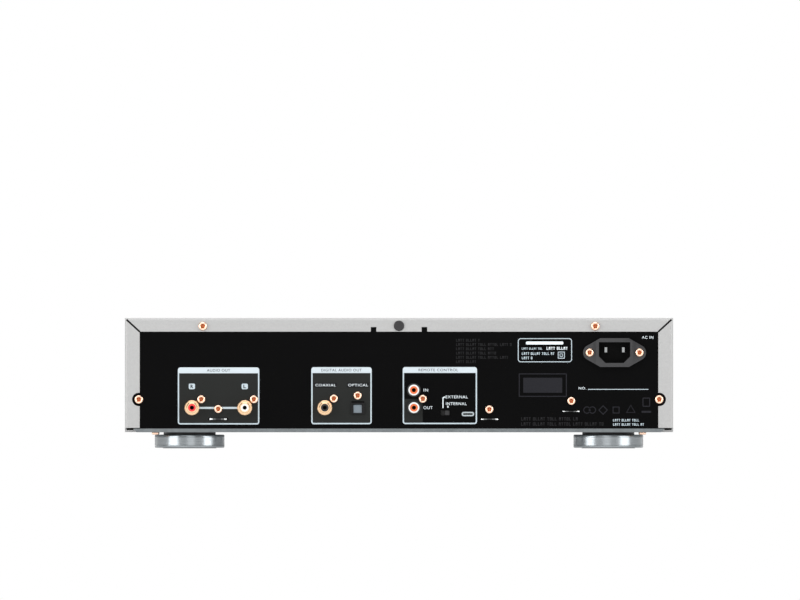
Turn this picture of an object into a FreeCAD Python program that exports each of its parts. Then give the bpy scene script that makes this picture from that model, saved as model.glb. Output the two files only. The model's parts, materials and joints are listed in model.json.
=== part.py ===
import FreeCAD, Part
import math
import os
import re

import Sketcher
from FreeCAD import Rotation, Vector

# A component CD player. Millimetres, +Z up, the front faces -Y and the sockets face +Y.
# The origin is on the surface it stands on, under the middle of its bounding box.

SIZES = {
    # casing
    "sheet": 1.0, "half_width": 220.0, "top_z": 104.6, "cover_low": 15.4, "bend": 2.4,
    "cover_front": -151.0, "cover_rear": 162.5, "lip_in": 213.4,
    "flange_low": 16.4, "flange_x": 208.1, "flange_z": 93.6, "mitre": 1.0,
    "notch_x": 20.4, "notch_wide": 4.5, "notch_top": 97.3, "ear_notch_r": 5.4,
    "panel_half": 215.4, "panel_low": 15.8, "panel_top": 102.0, "panel_rear": 161.5, "panel_fold": 8.0,
    "tab_in": 213.0, "tab_out": 218.6, "tab_low": 14.6, "tab_high": 16.2,
    "base_low": 14.2, "base_half": 212.8, "wall": 1.2, "wall_top": 60.0, "front_wall_top": 20.0,
    "chassis_front": -149.5, "ear_in": 198.0,
    "plate_low": 12.85, "plate_half": 210.4, "plate_slope": 1.2,
    "vent_x": 120.0, "vent_pitch": 8.0, "vent_wide": 3.0, "vent_long": 44.0, "vent_y": -40.0,
    "plug_r": 4.2, "plug_z": 98.3,
    # feet
    "foot_r": 27.6, "ring_low": 0.4, "foot_core_r": 24.0, "foot_top": 11.0, "neck_r": 20.5,
    "foot_round": 1.0,
    "foot_low": 0.8, "pad_in": 12.0, "pad_out": 21.0, "pad_top": 2.0,
    "foot_well_r": 9.0, "foot_well_top": 6.0, "rear_foot_x": 167.6, "rear_foot_y": 128.0,
    "front_foot_x": 168.4, "front_foot_y": -120.0,
    # screws
    "head_r": 3.35, "head_high": 1.9, "shank_r": 1.45, "shank_long": 8.0, "small_head_r": 3.1,
    "big_head_r": 3.5, "foot_head_r": 4.0, "foot_shank_long": 12.0,
    "cross_wide": 0.9, "cross_long": 3.6, "cross_deep": 1.1,
    "screw_hole_r": 1.5, "bottom_screw_x": 195.3, "bottom_screw_y": 150.0,
    # front
    "front_y": -161.0, "front_low": 13.0, "front_wall": 3.0, "front_rim": 3.5, "front_round": 1.6,
    "door_half": 66.0, "door_low": 70.0, "door_high": 88.0, "door_gap": 0.4,
    "window_half": 62.0, "window_low": 36.0, "window_high": 62.0, "window_gap": 0.15,
    "module_low": 38.0, "board_y": -149.0, "board_thick": 1.6, "board_low": 36.0, "board_high": 66.0,
    "board_half": 203.0,
    "key_half": 10.0, "key_r": 3.4, "key_gap": 0.35, "key_proud": 1.6, "key_lip": 1.2,
    "lip_gap": 0.4, "stem_r": 2.0, "stem_end": -152.3, "switch_front": -151.0,
    "power_r": 7.5, "power_proud": 3.8,
    "knob_r": 9.0, "knob_front": -170.5, "knob_gap": 0.4, "spindle_r": 3.0,
    "spindle_hole_r": 3.5, "spindle_root": 6.0,
    "phones_nut_r": 6.4, "phones_neck_r": 5.0, "phones_r": 3.2, "phones_front": -162.6,
    "phones_end": -134.0, "phones_half": 6.6,
    # tray and loader
    "disc_y": -84.0, "tray_half": 64.0, "tray_low": 74.0, "tray_high": 79.0, "tray_rear": 4.0,
    "well_r": 60.5, "well_deep": 1.5, "small_well_r": 40.5, "small_well_deep": 2.6,
    "slot_half": 22.0, "slot_front": -104.0,
    "rack_x": -49.0, "rack_low": 70.4, "rack_body": 3.5, "drive_y": -139.0,
    "drive_teeth": 32.0, "drive_module": 1.0, "pinion_teeth": 12.0,
    "gear_low": 69.9, "gear_high": 73.5, "hub_r": 4.0, "running_gap": 0.4,
    "axle_r": 1.5, "axle_hole_r": 1.55, "pulley_r": 13.0, "pulley_high": 69.5,
    "motor_pulley_r": 4.0, "motor_shaft_r": 1.0, "motor_bore_r": 1.05, "motor_hole_r": 1.6,
    "motor_can_r": 9.0, "motor_can_high": 20.0, "motor_x": 24.0, "motor_y": -134.0,
    "belt_thick": 1.2, "belt_gap": 0.3,
    "shelf_low": 63.6, "shelf_high": 66.2, "shelf_front": -147.0, "shelf_rear": -121.0,
    "rail_in": 66.2, "rail_out": 72.0, "rail_low": 50.0, "rail_high": 86.0, "rail_rear": 30.0,
    "ledge_in": 60.0, "ledge_gap": 0.4, "ledge_thick": 2.2,
    "leg_front_y": -140.0, "leg_rear_y": 14.0, "leg_half": 6.0, "pivot_y": 16.0, "pivot_z": 58.0,
    "pivot_r": 2.0, "pivot_hole_r": 2.35, "bridge_half_y": 17.0, "bridge_high": 87.2,
    "puck_r": 15.0, "puck_low": 80.6, "puck_high": 85.6, "puck_neck_r": 8.0, "puck_hole_r": 8.5,
    "puck_top_r": 12.0, "puck_top_low": 87.6, "puck_top": 89.4, "puck_well_r": 8.2, "puck_well_top": 83.4,
    # traverse
    "frame_half": 56.0, "frame_front": -112.0, "frame_rear": 21.0, "frame_low": 56.0, "frame_high": 59.0,
    "cam_pin_r": 1.5, "cam_front": -119.0, "cam_thick": 4.0, "cam_half": 34.0,
    "cam_low": 46.0, "cam_high": 63.0, "cam_slot_half": 1.9, "cam_shift": 20.0, "cam_drop": 9.3,
    "cam_pin_z": 57.5,
    "table_r": 15.0, "table_low": 76.4, "table_high": 79.2, "cone_r": 7.4, "cone_top": 81.6,
    "spin_shaft_r": 1.0, "spin_motor_r": 14.0, "spin_motor_low": 48.0, "spin_boss_r": 5.0,
    "rod_x": 20.0, "rod_z": 66.5, "rod_r": 1.5, "rod_front": -78.0, "rod_rear": 4.0, "rod_hole_r": 1.8,
    "sled_half": 24.0, "sled_front": -66.0, "sled_rear": -40.0, "sled_low": 63.4, "sled_high": 71.0,
    "sled_rack_x": 28.0, "sled_gear_y": -33.0, "sled_module": 0.8,
    "sled_teeth": 15.0, "fine_module": 0.5, "fine_teeth": 40.0, "fine_pinion_teeth": 10.0,
    "sled_gear_low": 63.8, "sled_gear_high": 67.4, "fine_low": 60.6, "fine_high": 62.6,
    "sled_axle_r": 1.0, "sled_axle_hole_r": 1.05, "sled_shaft_r": 0.8, "sled_bore_r": 0.85,
    "sled_motor_r": 8.0, "sled_motor_low": 44.0,
    "lens_half": 4.0, "lens_y": -60.0, "lens_low": 72.0, "lens_high": 75.0, "lens_r": 2.6,
    "coil_wall": 1.6, "coil_gap": 0.8, "coil_top": 74.6,
    # boards
    "pcb_low": 26.0, "pcb_thick": 1.6, "main_left": -70.0, "main_right": 204.0, "main_front": 44.0,
    "main_rear": 146.0, "supply_left": -204.0, "supply_right": -84.0, "supply_front": 40.0,
    "core_x": -150.0, "core_y": -60.0, "core_half_x": 33.0, "core_half_y": 16.0, "core_high": 70.0,
    "core_leg": 11.0, "coil_half_y": 26.0,
    # rear sockets
    "shell_r": 4.15, "shell_flange_r": 6.0, "shell_proud": 9.0, "shell_hole_r": 4.25, "insert_r": 3.15,
    "pin_bore_r": 1.7, "insert_short": 0.5, "remote_r": 4.35, "remote_proud": 7.0, "remote_hole_r": 5.6,
    "optical_left": 27.5, "optical_right": 38.6, "optical_low": 27.5, "optical_high": 36.6,
    "optical_proud": 1.0, "throat_left": 29.6, "throat_right": 36.8, "throat_low": 28.1,
    "throat_high": 35.4, "throat_end": 151.0, "flap_gap": 0.3, "flap_thick": 0.8, "flap_z": 34.6,
    "flap_y": 161.3,
    "switch_low": 26.3, "switch_high": 30.5, "switch_left": -40.7, "switch_right": -33.5,
    "slider_wide": 3.3, "slider_proud": 0.6, "slider_gap": 0.3,
    "port_x": -55.3, "port_z": 27.5, "port_half": 3.3, "port_r": 1.7,
    "lance_half": 7.0, "lance_r": 0.8,
    # mains inlet
    "inlet_x": -173.0, "inlet_z": 76.8, "inlet_flat": 11.5, "inlet_half_z": 11.55, "inlet_end": 19.0,
    "inlet_end_r": 6.3, "inlet_touch_x": 22.15, "inlet_touch_z": 5.46, "inlet_flange": 2.6,
    "inlet_proud": 4.2, "inlet_block": 15.15, "mouth_half_x": 12.6, "mouth_half_z": 8.4,
    "mouth_corner": 5.3, "mouth_end": 149.5, "inlet_rear": 147.5, "inlet_body_x": 14.2,
    "inlet_body_z": 10.2, "prong_x": 7.0, "prong_z": 2.2, "prong_wide": 2.0, "prong_high": 4.0,
    "prong_tip": 162.8, "inlet_screw_x": 20.0,
}

# Centres on the rear panel and the front panel, as (x, z). The sheet holds each as NAME_x and NAME_z.
PLACES = {
    "right_jack": (166.2, 32.6), "left_jack": (123.8, 32.6), "coax_jack": (59.6, 32.6),
    "remote_in": (-11.9, 46.7), "remote_out": (-12.0, 32.6),
    "screw_right": (158.7, 39.3), "screw_left": (116.5, 39.3), "screw_mid": (145.1, 31.5),
    "screw_coax": (52.3, 39.9), "screw_optical": (33.2, 42.3), "screw_remote": (-19.1, 39.7),
    "screw_bracket": (-72.5, 31.2), "screw_supply": (-138.3, 38.0),
    "lance_a": (145.1, 23.4), "lance_b": (-72.6, 23.4), "lance_c": (-138.0, 30.0),
    "ear_screw": (208.8, 39.2), "top_screw": (157.5, 98.0),
    "power_key": (-188.0, 49.0), "open_key": (100.0, 80.0), "play_key": (100.0, 56.0),
    "stop_key": (128.0, 56.0), "back_key": (100.0, 42.0), "next_key": (128.0, 42.0),
    "phones": (164.0, 27.0), "level": (194.0, 32.0),
}
for place, (across, height) in PLACES.items():
    SIZES[place + "_x"] = across
    SIZES[place + "_z"] = height

REAR_SCREWS = ["screw_right", "screw_left", "screw_mid", "screw_coax", "screw_optical", "screw_remote",
               "screw_bracket", "screw_supply"]
FRONT_KEYS = ["open_key", "play_key", "stop_key", "back_key", "next_key"]
LANCES = ["lance_a", "lance_b", "lance_c"]

# Centres seen from above, as (x, y).
FOOT_SPOTS = [("rear_foot_x", "rear_foot_y"), ("-rear_foot_x", "rear_foot_y"),
              ("front_foot_x", "front_foot_y"), ("-front_foot_x", "front_foot_y")]
BOTTOM_SPOTS = [(f"{side}bottom_screw_x", along) for side in ("", "-")
                for along in ("bottom_screw_y", "0", "-bottom_screw_y + 6")]
PINION_AT = ("pinion_x", "pinion_y")

# Degrees that let the loading gears mesh: the way from the drive gear to the pinion, and the turns
# of the pinions' first teeth.
DRIVE_TOOTH_ANGLE = 22.5
PINION_SPIN = 7.5
FINE_PINION_SPIN = 18
TRAY_TEETH = 49
SLED_TEETH = 17

# Upright cylinders on the boards, as (x, y, radius, height).
CAPACITORS = [
    (-185, 70, 9, 32), (-160, 70, 9, 32), (-185, 100, 6, 22), (-165, 100, 6, 22), (-110, 66, 8, 25),
    (60, 66, 6, 18), (80, 66, 6, 18), (100, 66, 6, 18), (150, 84, 5, 14), (170, 84, 5, 14), (190, 84, 5, 14),
    (130, 112, 4, 12), (150, 112, 4, 12), (-30, 70, 5, 14), (-10, 70, 5, 14)]
# Blocks on the boards, as (x, y, half width, half depth, height).
CHIPS = [
    (20, 96, 12, 12, 2), (60, 104, 8, 8, 2), (100, 100, 9, 6, 3), (-30, 110, 7, 10, 2), (130, 92, 5, 4, 3),
    (-130, 96, 12, 4, 24), (-100, 110, 10, 4, 24), (180, 54, 16, 3, 8), (0, 54, 20, 3, 7),
    (-110, 146, 9, 9, 14)]

doc = FreeCAD.newDocument("CdPlayer")
sheet = doc.addObject("Spreadsheet::Sheet", "Dims")
for row, (alias, number) in enumerate(SIZES.items(), 1):
    sheet.set(f"A{row}", alias)
    sheet.set(f"B{row}", str(number))
    sheet.setAlias(f"B{row}", alias)
doc.recompute()

NODES = {}

# Turns that point an object's own Z axis along a row axis. "-y" and "x" keep a flat outline upright:
# "-y" reads its points as (x, z), and "x" reads them as (y, z).
TURNS = {
    "z": Rotation(),
    "-z": Rotation(Vector(1, 0, 0), 180),
    "x": Rotation(Vector(1, 1, 1), 120),
    "-x": Rotation(Vector(0, 1, 0), -90),
    "y": Rotation(Vector(1, 0, 0), -90),
    "-y": Rotation(Vector(1, 0, 0), 90),
}


def in_sheet(expression):
    """The expression with every named size read from the spreadsheet."""
    return re.sub(r"[A-Za-z_]\w*", lambda word: f"Dims.{word[0]}" if word[0] in SIZES else word[0],
                  str(expression))


def bind(item, name, expression):
    item.setExpression(name, in_sheet(expression))


def place_at(item, at, turn="z", spin=0.0):
    """Points the item's Z axis along turn, spun about it, with its origin at the three expressions."""
    item.Placement.Rotation = TURNS[turn] * Rotation(Vector(0, 0, 1), spin)
    for axis, expression in zip("xyz", at):
        bind(item, f"Placement.Base.{axis}", expression)
    return item


def keep(node, item):
    """Names an object as one of the finished sub-parts."""
    item.Label = node
    NODES[node] = item
    return item


def block(name, x_span, y_span, z_span):
    box = doc.addObject("Part::Box", name)
    for prop, (low, high) in zip(("Length", "Width", "Height"), (x_span, y_span, z_span)):
        bind(box, prop, f"({high}) - ({low})")
    return place_at(box, (x_span[0], y_span[0], z_span[0]))


def mirrored_blocks(name, x_span, y_span, z_span):
    """The same block on the +X side and on the -X side."""
    low, high = x_span
    return [block(name + "Left", x_span, y_span, z_span),
            block(name + "Right", (f"-({high})", f"-({low})"), y_span, z_span)]


def rod(name, at, turn, radius, length):
    cylinder = doc.addObject("Part::Cylinder", name)
    bind(cylinder, "Radius", radius)
    bind(cylinder, "Height", length)
    return place_at(cylinder, at, turn)


def fuse(name, items):
    joined = doc.addObject("Part::MultiFuse", name)
    joined.Shapes = items
    return joined


def group(name, items):
    together = doc.addObject("Part::Compound", name)
    together.Links = items
    return together


def cut(name, base, tools):
    result = doc.addObject("Part::Cut", name)
    result.Base = base
    result.Tool = tools[0] if len(tools) == 1 else group(name + "Tools", tools)
    return result


def common(name, first, second):
    result = doc.addObject("Part::Common", name)
    result.Base = first
    result.Tool = second
    return result


def copies(name, source, spots):
    """One group of separate copies of source, each at (at, turn)."""
    links = []
    for number, (at, turn) in enumerate(spots, 1):
        link = doc.addObject("App::Link", f"{name}{number}")
        link.LinkedObject = source
        links.append(place_at(link, at, turn))
    return group(name, links)


def origin_part(body, role):
    return next(feature for feature in body.Origin.OriginFeatures if feature.Role == role)


def outline(body, name, points, plane="XY_Plane"):
    """A closed sketch of straight lines through points, each a pair of expressions."""
    sketch = body.newObject("Sketcher::SketchObject", name)
    sketch.AttachmentSupport = [(origin_part(body, plane), "")]
    sketch.MapMode = "FlatFace"
    count = len(points)
    start = [Vector(math.cos(2 * math.pi * i / count), math.sin(2 * math.pi * i / count), 0)
             for i in range(count)]
    for i in range(count):
        sketch.addGeometry(Part.LineSegment(start[i], start[(i + 1) % count]), False)
    for i in range(count):
        sketch.addConstraint(Sketcher.Constraint("Coincident", i, 2, (i + 1) % count, 1))
    for i, (first, second) in enumerate(points):
        across = sketch.addConstraint(Sketcher.Constraint("DistanceX", -1, 1, i, 1, start[i].x))
        bind(sketch, f"Constraints[{across}]", first)
        along = sketch.addConstraint(Sketcher.Constraint("DistanceY", -1, 1, i, 1, start[i].y))
        bind(sketch, f"Constraints[{along}]", second)
    return sketch


def prism(name, points, at, turn, depth):
    """A body of one outline padded by depth along turn, from the point at."""
    body = doc.addObject("PartDesign::Body", name)
    pad = body.newObject("PartDesign::Pad", name + "Pad")
    pad.Profile = outline(body, name + "Outline", points)
    bind(pad, "Length", depth)
    body.Tip = pad
    return place_at(body, at, turn)


def lathe(name, points, at=(0, 0, 0), turn="z"):
    """A body turned about its own Z axis from points given as (radius, height)."""
    body = doc.addObject("PartDesign::Body", name)
    sketch = outline(body, name + "Outline", points, "XZ_Plane")
    spun = body.newObject("PartDesign::Revolution", name + "Turn")
    spun.Profile = sketch
    spun.ReferenceAxis = (sketch, ["V_Axis"])
    spun.Angle = 360
    body.Tip = spun
    return place_at(body, at, turn)


def tube_points(inner, outer, low, high):
    return [(inner, low), (outer, low), (outer, high), (inner, high)]


def pill(name, x, z, half, radius, y_rear, depth):
    """A long round-ended bar in the X direction, padded towards -Y from y_rear."""
    middle = block(name + "Middle", (f"{x} - {half} + {radius}", f"{x} + {half} - {radius}"),
                   (f"{y_rear} - ({depth})", y_rear), (f"{z} - {radius}", f"{z} + {radius}"))
    ends = [rod(name + tag, (f"{x} {side} ({half} - {radius})", y_rear, z), "-y", radius, depth)
            for tag, side in (("EndA", "+"), ("EndB", "-"))]
    return fuse(name, [middle] + ends)


def toothed(name, teeth, module, low, high, at, spin=0.0):
    """A gear with straight-sided teeth on a vertical axis, one tooth pointing along spin."""
    body = doc.addObject("PartDesign::Body", name)
    root = f"({teeth} * {module} / 2 - 1.3 * {module})"
    crest = f"({teeth} * {module} / 2 + 0.85 * {module})"
    disc = body.newObject("PartDesign::AdditiveCylinder", name + "Disc")
    bind(disc, "Radius", root)
    bind(disc, "Height", f"{high} - {low}")
    tooth = body.newObject("PartDesign::Pad", name + "Tooth")
    tooth.Profile = outline(body, name + "ToothOutline", [
        (f"{root} - 0.4 * {module}", f"-1.08 * {module}"), (crest, f"-0.36 * {module}"),
        (crest, f"0.36 * {module}"), (f"{root} - 0.4 * {module}", f"1.08 * {module}")])
    bind(tooth, "Length", f"{high} - {low}")
    ring = body.newObject("PartDesign::PolarPattern", name + "Teeth")
    ring.Originals = [tooth]
    ring.Axis = (origin_part(body, "Z_Axis"), [""])
    ring.Angle = 360
    bind(ring, "Occurrences", teeth)
    body.Tip = ring
    return place_at(body, (at[0], at[1], low), "z", spin)


def rack(name, count, module, first, pitch_x, back_x, low, high):
    """A straight rack along Y with its teeth towards +X; first is the middle of its first tooth."""
    body = doc.addObject("PartDesign::Body", name)
    pitch = f"({math.pi} * {module})"
    root = f"({pitch_x} - 1.3 * {module})"
    back = body.newObject("PartDesign::Pad", name + "Bar")
    back.Profile = outline(body, name + "BarOutline", [
        (back_x, f"{first} - {pitch} / 2"), (root, f"{first} - {pitch} / 2"),
        (root, f"{first} + ({count} - 0.5) * {pitch}"), (back_x, f"{first} + ({count} - 0.5) * {pitch}")])
    bind(back, "Length", f"{high} - {low}")
    tooth = body.newObject("PartDesign::Pad", name + "Tooth")
    tooth.Profile = outline(body, name + "ToothOutline", [
        (f"{root} - 0.4 * {module}", f"{first} - 1.08 * {module}"),
        (f"{pitch_x} + 0.85 * {module}", f"{first} - 0.36 * {module}"),
        (f"{pitch_x} + 0.85 * {module}", f"{first} + 0.36 * {module}"),
        (f"{root} - 0.4 * {module}", f"{first} + 1.08 * {module}")])
    bind(tooth, "Length", f"{high} - {low}")
    row = body.newObject("PartDesign::LinearPattern", name + "Teeth")
    row.Originals = [tooth]
    row.Direction = (origin_part(body, "Y_Axis"), [""])
    bind(row, "Length", f"({count} - 1) * {pitch}")
    row.Occurrences = count
    body.Tip = row
    return place_at(body, (0, 0, low))


def screw(name, head_radius, shank_length="shank_long"):
    """A pan-head screw with a cross recess. Its head stands on the plane z = 0."""
    turned = lathe(name + "Blank", [
        (0, f"-({shank_length})"), ("shank_r", f"-({shank_length})"), ("shank_r", 0), (head_radius, 0),
        (head_radius, "head_high * 0.45"), (f"{head_radius} * 0.72", "head_high * 0.9"),
        (f"{head_radius} * 0.3", "head_high"), (0, "head_high")])
    arms = [block(f"{name}Arm{number}", (f"-{wide} / 2", f"{wide} / 2"), (f"-{deep} / 2", f"{deep} / 2"),
                  ("head_high - cross_deep", "head_high + 1"))
            for number, (wide, deep) in enumerate((("cross_long", "cross_wide"),
                                                   ("cross_wide", "cross_long")))]
    return cut(name, turned, arms)


# ---------------------------------------------------------------- casing

def cover_shell():
    """The top, the sides and the rear flange, bent from one sheet and open below and in front."""
    body = doc.addObject("PartDesign::Body", "CoverShell")
    pad = body.newObject("PartDesign::Pad", "CoverPad")
    pad.Profile = outline(body, "CoverPlan", [
        ("-half_width", "cover_front"), ("half_width", "cover_front"),
        ("half_width", "cover_rear"), ("-half_width", "cover_rear")])
    bind(pad, "Length", "top_z - cover_low")
    doc.recompute()
    box = pad.Shape.BoundBox
    rounded = []
    for number, edge in enumerate(pad.Shape.Edges, 1):
        middle = edge.CenterOfMass
        at_side = abs(abs(middle.x) - box.XMax) < 0.01
        at_rear = abs(middle.y - box.YMax) < 0.01
        at_top = abs(middle.z - box.ZMax) < 0.01
        if at_side + at_rear + at_top == 2:
            rounded.append(f"Edge{number}")
    bends = body.newObject("PartDesign::Fillet", "CoverBends")
    bends.Base = (pad, rounded)
    bind(bends, "Radius", "bend")
    doc.recompute()
    open_faces = [f"Face{number}" for number, face in enumerate(bends.Shape.Faces, 1)
                  if face.BoundBox.ZMax < box.ZMin + 0.01 or face.BoundBox.YMax < box.YMin + 0.01]
    shell = body.newObject("PartDesign::Thickness", "CoverThickness")
    shell.Base = (bends, open_faces)
    shell.Reversed = True
    bind(shell, "Value", "sheet")
    body.Tip = shell
    return place_at(body, (0, 0, "cover_low"))


def cover_tools():
    """The rear mouth inside the flange, the mitred corners, the notches and the screw holes."""
    behind = ("cover_rear - 2", "cover_rear + 1")
    tools = [block("CoverMouth", ("-flange_x", "flange_x"), behind, ("cover_low - 1", "flange_z")),
             block("CoverSill", ("-half_width - 1", "half_width + 1"),
                   ("cover_rear - 3", "cover_rear + 1"), ("cover_low - 1", "flange_low"))]
    for side in ("+", "-"):
        tools += [
            prism(f"CoverMitre{'L' if side == '+' else 'R'}", [
                (f"{side}(flange_x - mitre * 0.7)", "flange_z"),
                (f"{side}flange_x", "flange_z - mitre * 0.7"),
                (f"{side}(half_width - bend)", "top_z - bend - mitre * 0.7"),
                (f"{side}(half_width - bend - mitre * 0.7)", "top_z - bend")],
                (0, "cover_rear + 1", 0), "-y", 3),
            block("CoverNotch", (f"{side}notch_x - notch_wide / 2", f"{side}notch_x + notch_wide / 2"),
                  behind, ("flange_z - 1", "notch_top")),
            rod("CoverEarNotch", (f"{side}ear_screw_x", "cover_rear + 1", "ear_screw_z"), "-y",
                "ear_notch_r", 3),
            rod("CoverScrewHole", (f"{side}top_screw_x", "cover_rear + 1", "top_screw_z"), "-y",
                "screw_hole_r", 3)]
    tools.append(rod("CoverPlugHole", (0, "cover_rear + 1", "plug_z"), "-y", "plug_r - 0.6", 3))
    return tools


def make_top_cover():
    pierced = cut("CoverPierced", cover_shell(), cover_tools())
    lips = mirrored_blocks("CoverLip", ("lip_in", "half_width - sheet / 2"),
                           ("cover_front", "cover_rear - 4"), ("cover_low", "cover_low + sheet"))
    keep("top_cover", fuse("Cover", [pierced] + lips))


def make_hole_plug():
    keep("hole_plug", lathe("HolePlug", [
        (0, -3), ("plug_r - 1", -3), ("plug_r - 0.6", -1), ("plug_r - 0.6", 0), ("plug_r", 0),
        ("plug_r", 0.5), ("plug_r - 0.5", 1), (0, 1)], (0, "cover_rear", "plug_z"), "y"))


def panel_tools():
    through = "panel_rear + 1"
    deep = "sheet + 2"
    holes = [rod("JackHole", (f"{spot}_x", through, f"{spot}_z"), "-y", "shell_hole_r", deep)
             for spot in ("right_jack", "left_jack", "coax_jack")]
    holes += [rod("RemoteHole", (f"{spot}_x", through, f"{spot}_z"), "-y", "remote_hole_r", deep)
              for spot in ("remote_in", "remote_out")]
    holes += [rod("PilotHole", (f"{spot}_x", through, f"{spot}_z"), "-y", "screw_hole_r", deep)
              for spot in REAR_SCREWS]
    holes += [rod("EarHole", (f"{side}ear_screw_x", through, "ear_screw_z"), "-y", "screw_hole_r", deep)
              for side in "+-"]
    holes += [rod("TopHole", (f"{side}top_screw_x", through, "top_screw_z"), "-y", "screw_hole_r", deep)
              for side in "+-"]
    holes += [rod("InletScrewHole", (f"inlet_x {side} inlet_screw_x", through, "inlet_z"), "-y",
                  "screw_hole_r", deep) for side in "+-"]
    holes += [pill(f"Lance{number}", f"{spot}_x", f"{spot}_z", "lance_half", "lance_r", through, deep)
              for number, spot in enumerate(LANCES)]
    holes.append(pill("PortHole", "port_x", "port_z", "port_half + port_r", "port_r", through, deep))
    holes.append(rod("PlugHole", (0, through, "plug_z"), "-y", "plug_r", deep))
    span = (f"{through} - ({deep})", through)
    holes.append(block("OpticalHole", ("optical_left", "optical_right"), span,
                       ("optical_low", "optical_high")))
    holes.append(block("SwitchHole", ("switch_left", "switch_right"), span, ("switch_low", "switch_high")))
    holes.append(block("InletHole", ("inlet_x - inlet_body_x", "inlet_x + inlet_body_x"), span,
                       ("inlet_z - inlet_body_z", "inlet_z + inlet_body_z")))
    return holes


def make_rear_panel():
    face = block("PanelFace", ("-panel_half", "panel_half"), ("panel_rear - sheet", "panel_rear"),
                 ("panel_low", "panel_top"))
    fold = block("PanelFold", ("-panel_half", "panel_half"),
                 ("panel_rear - panel_fold", "panel_rear"), ("panel_top - sheet", "panel_top"))
    tabs = mirrored_blocks("PanelTab", ("tab_in", "tab_out"), ("panel_rear - sheet", "panel_rear"),
                           ("tab_low", "tab_high"))
    keep("rear_panel", cut("RearPanel", fuse("PanelSheet", [face, fold] + tabs), panel_tools()))


def vent_cutters(name):
    """Two rows of slots through the bottom sheets."""
    slots = []
    for side in (-1, 1):
        for number in range(9):
            middle = f"{side} * vent_x + {number - 4} * vent_pitch"
            slots.append(block(f"{name}Vent", (f"{middle} - vent_wide / 2", f"{middle} + vent_wide / 2"),
                               ("vent_y - vent_long / 2", "vent_y + vent_long / 2"),
                               ("plate_low - 1", "panel_low + 1")))
    return slots


def bottom_holes(name):
    holes = vent_cutters(name)
    for x, y in FOOT_SPOTS:
        holes.append(rod(f"{name}FootHole", (x, y, "plate_low - 1"), "z", "screw_hole_r", 5))
    for x, y in BOTTOM_SPOTS:
        holes.append(rod(f"{name}ScrewHole", (x, y, "plate_low - 1"), "z", "screw_hole_r", 5))
    return holes


def make_bottom_plate():
    sheet_metal = prism("PlateSheet", [
        ("-plate_half", 0), ("plate_half", 0), ("plate_half + plate_slope", "base_low - plate_low"),
        ("-plate_half - plate_slope", "base_low - plate_low")],
        (0, "panel_rear", "plate_low"), "-y", "panel_rear - chassis_front")
    keep("bottom_plate", cut("BottomPlate", sheet_metal, bottom_holes("Plate")))


def make_chassis():
    pieces = [prism("ChassisBase", [
        ("-plate_half - plate_slope", 0), ("plate_half + plate_slope", 0),
        ("base_half", "panel_low - base_low"), ("-base_half", "panel_low - base_low")],
        (0, "panel_rear", "base_low"), "-y", "panel_rear - chassis_front")]
    pieces.append(block("ChassisFront", ("-base_half", "base_half"),
                        ("chassis_front", "chassis_front + wall"), ("panel_low - 0.5", "front_wall_top")))
    for side in (-1, 1):
        low, high = sorted((side * 1, 0))
        wall = (f"{side} * base_half - {high} * wall", f"{side} * base_half - {low} * wall")
        pieces.append(block("ChassisWall", wall, ("chassis_front", "panel_rear - sheet"),
                            ("panel_low - 0.5", "wall_top")))
        ear = ("-base_half", "-ear_in") if side < 0 else ("ear_in", "base_half")
        pieces.append(block("ChassisEar", ear, ("panel_rear - sheet - wall", "panel_rear - sheet"),
                            ("panel_low - 0.5", "wall_top")))
    tools = bottom_holes("Base")
    tools += [rod("EarPilot", (f"{side}ear_screw_x", "panel_rear", "ear_screw_z"), "-y",
                  "screw_hole_r", "sheet + wall + 1") for side in "+-"]
    keep("bottom_chassis", cut("BottomChassis", fuse("ChassisSheet", pieces), tools))


def make_feet():
    def four(name, source):
        return copies(name, source, [((x, y, 0), "z") for x, y in FOOT_SPOTS])

    ring = lathe("FootRingTurn", [
        ("foot_core_r", "ring_low"), ("foot_r - foot_round", "ring_low"),
        ("foot_r", "ring_low + foot_round"),
        ("foot_r", "foot_top - foot_round"), ("foot_r - foot_round", "foot_top"),
        ("foot_core_r", "foot_top")])
    core = lathe("FootCoreTurn", [
        ("screw_hole_r", "foot_well_top"), ("foot_well_r", "foot_well_top"), ("foot_well_r", "foot_low"),
        ("pad_in", "foot_low"), ("pad_in", "pad_top"), ("pad_out", "pad_top"), ("pad_out", "foot_low"),
        ("foot_core_r", "foot_low"), ("foot_core_r", "foot_top"), ("neck_r", "foot_top"),
        ("neck_r", "plate_low"), ("screw_hole_r", "plate_low")])
    pad = lathe("FootPadTurn", tube_points("pad_in", "pad_out", 0, "pad_top"))
    keep("foot_rings", four("FootRings", ring))
    keep("foot_bodies", four("FootBodies", core))
    keep("foot_pads", four("FootPads", pad))


def make_screws():
    panel_screw = screw("PanelScrew", "head_r")
    ear_screw = screw("EarScrew", "big_head_r")
    plate_screw = screw("PlateScrew", "small_head_r")
    foot_screw = screw("FootScrew", "foot_head_r", "foot_shank_long")
    spots = [((f"{spot}_x", "panel_rear", f"{spot}_z"), "y") for spot in REAR_SCREWS]
    keep("rear_screws", copies("RearScrews", panel_screw, spots))
    inlet = [((f"inlet_x {side} inlet_screw_x", "panel_rear + inlet_flange", "inlet_z"), "y")
             for side in "+-"]
    keep("inlet_screws", copies("InletScrews", panel_screw, inlet))
    cover = [((f"{side}ear_screw_x", "panel_rear", "ear_screw_z"), "y") for side in "+-"]
    cover += [((f"{side}top_screw_x", "cover_rear", "top_screw_z"), "y") for side in "+-"]
    keep("cover_screws", copies("CoverScrews", ear_screw, cover))
    under = copies("PlateScrews", plate_screw,
                   [((x, y, "plate_low"), "-z") for x, y in BOTTOM_SPOTS])
    feet = copies("FootScrews", foot_screw,
                  [((x, y, "foot_well_top"), "-z") for x, y in FOOT_SPOTS])
    keep("bottom_screws", group("BottomScrews", [under, feet]))


# ---------------------------------------------------------------- front

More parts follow.
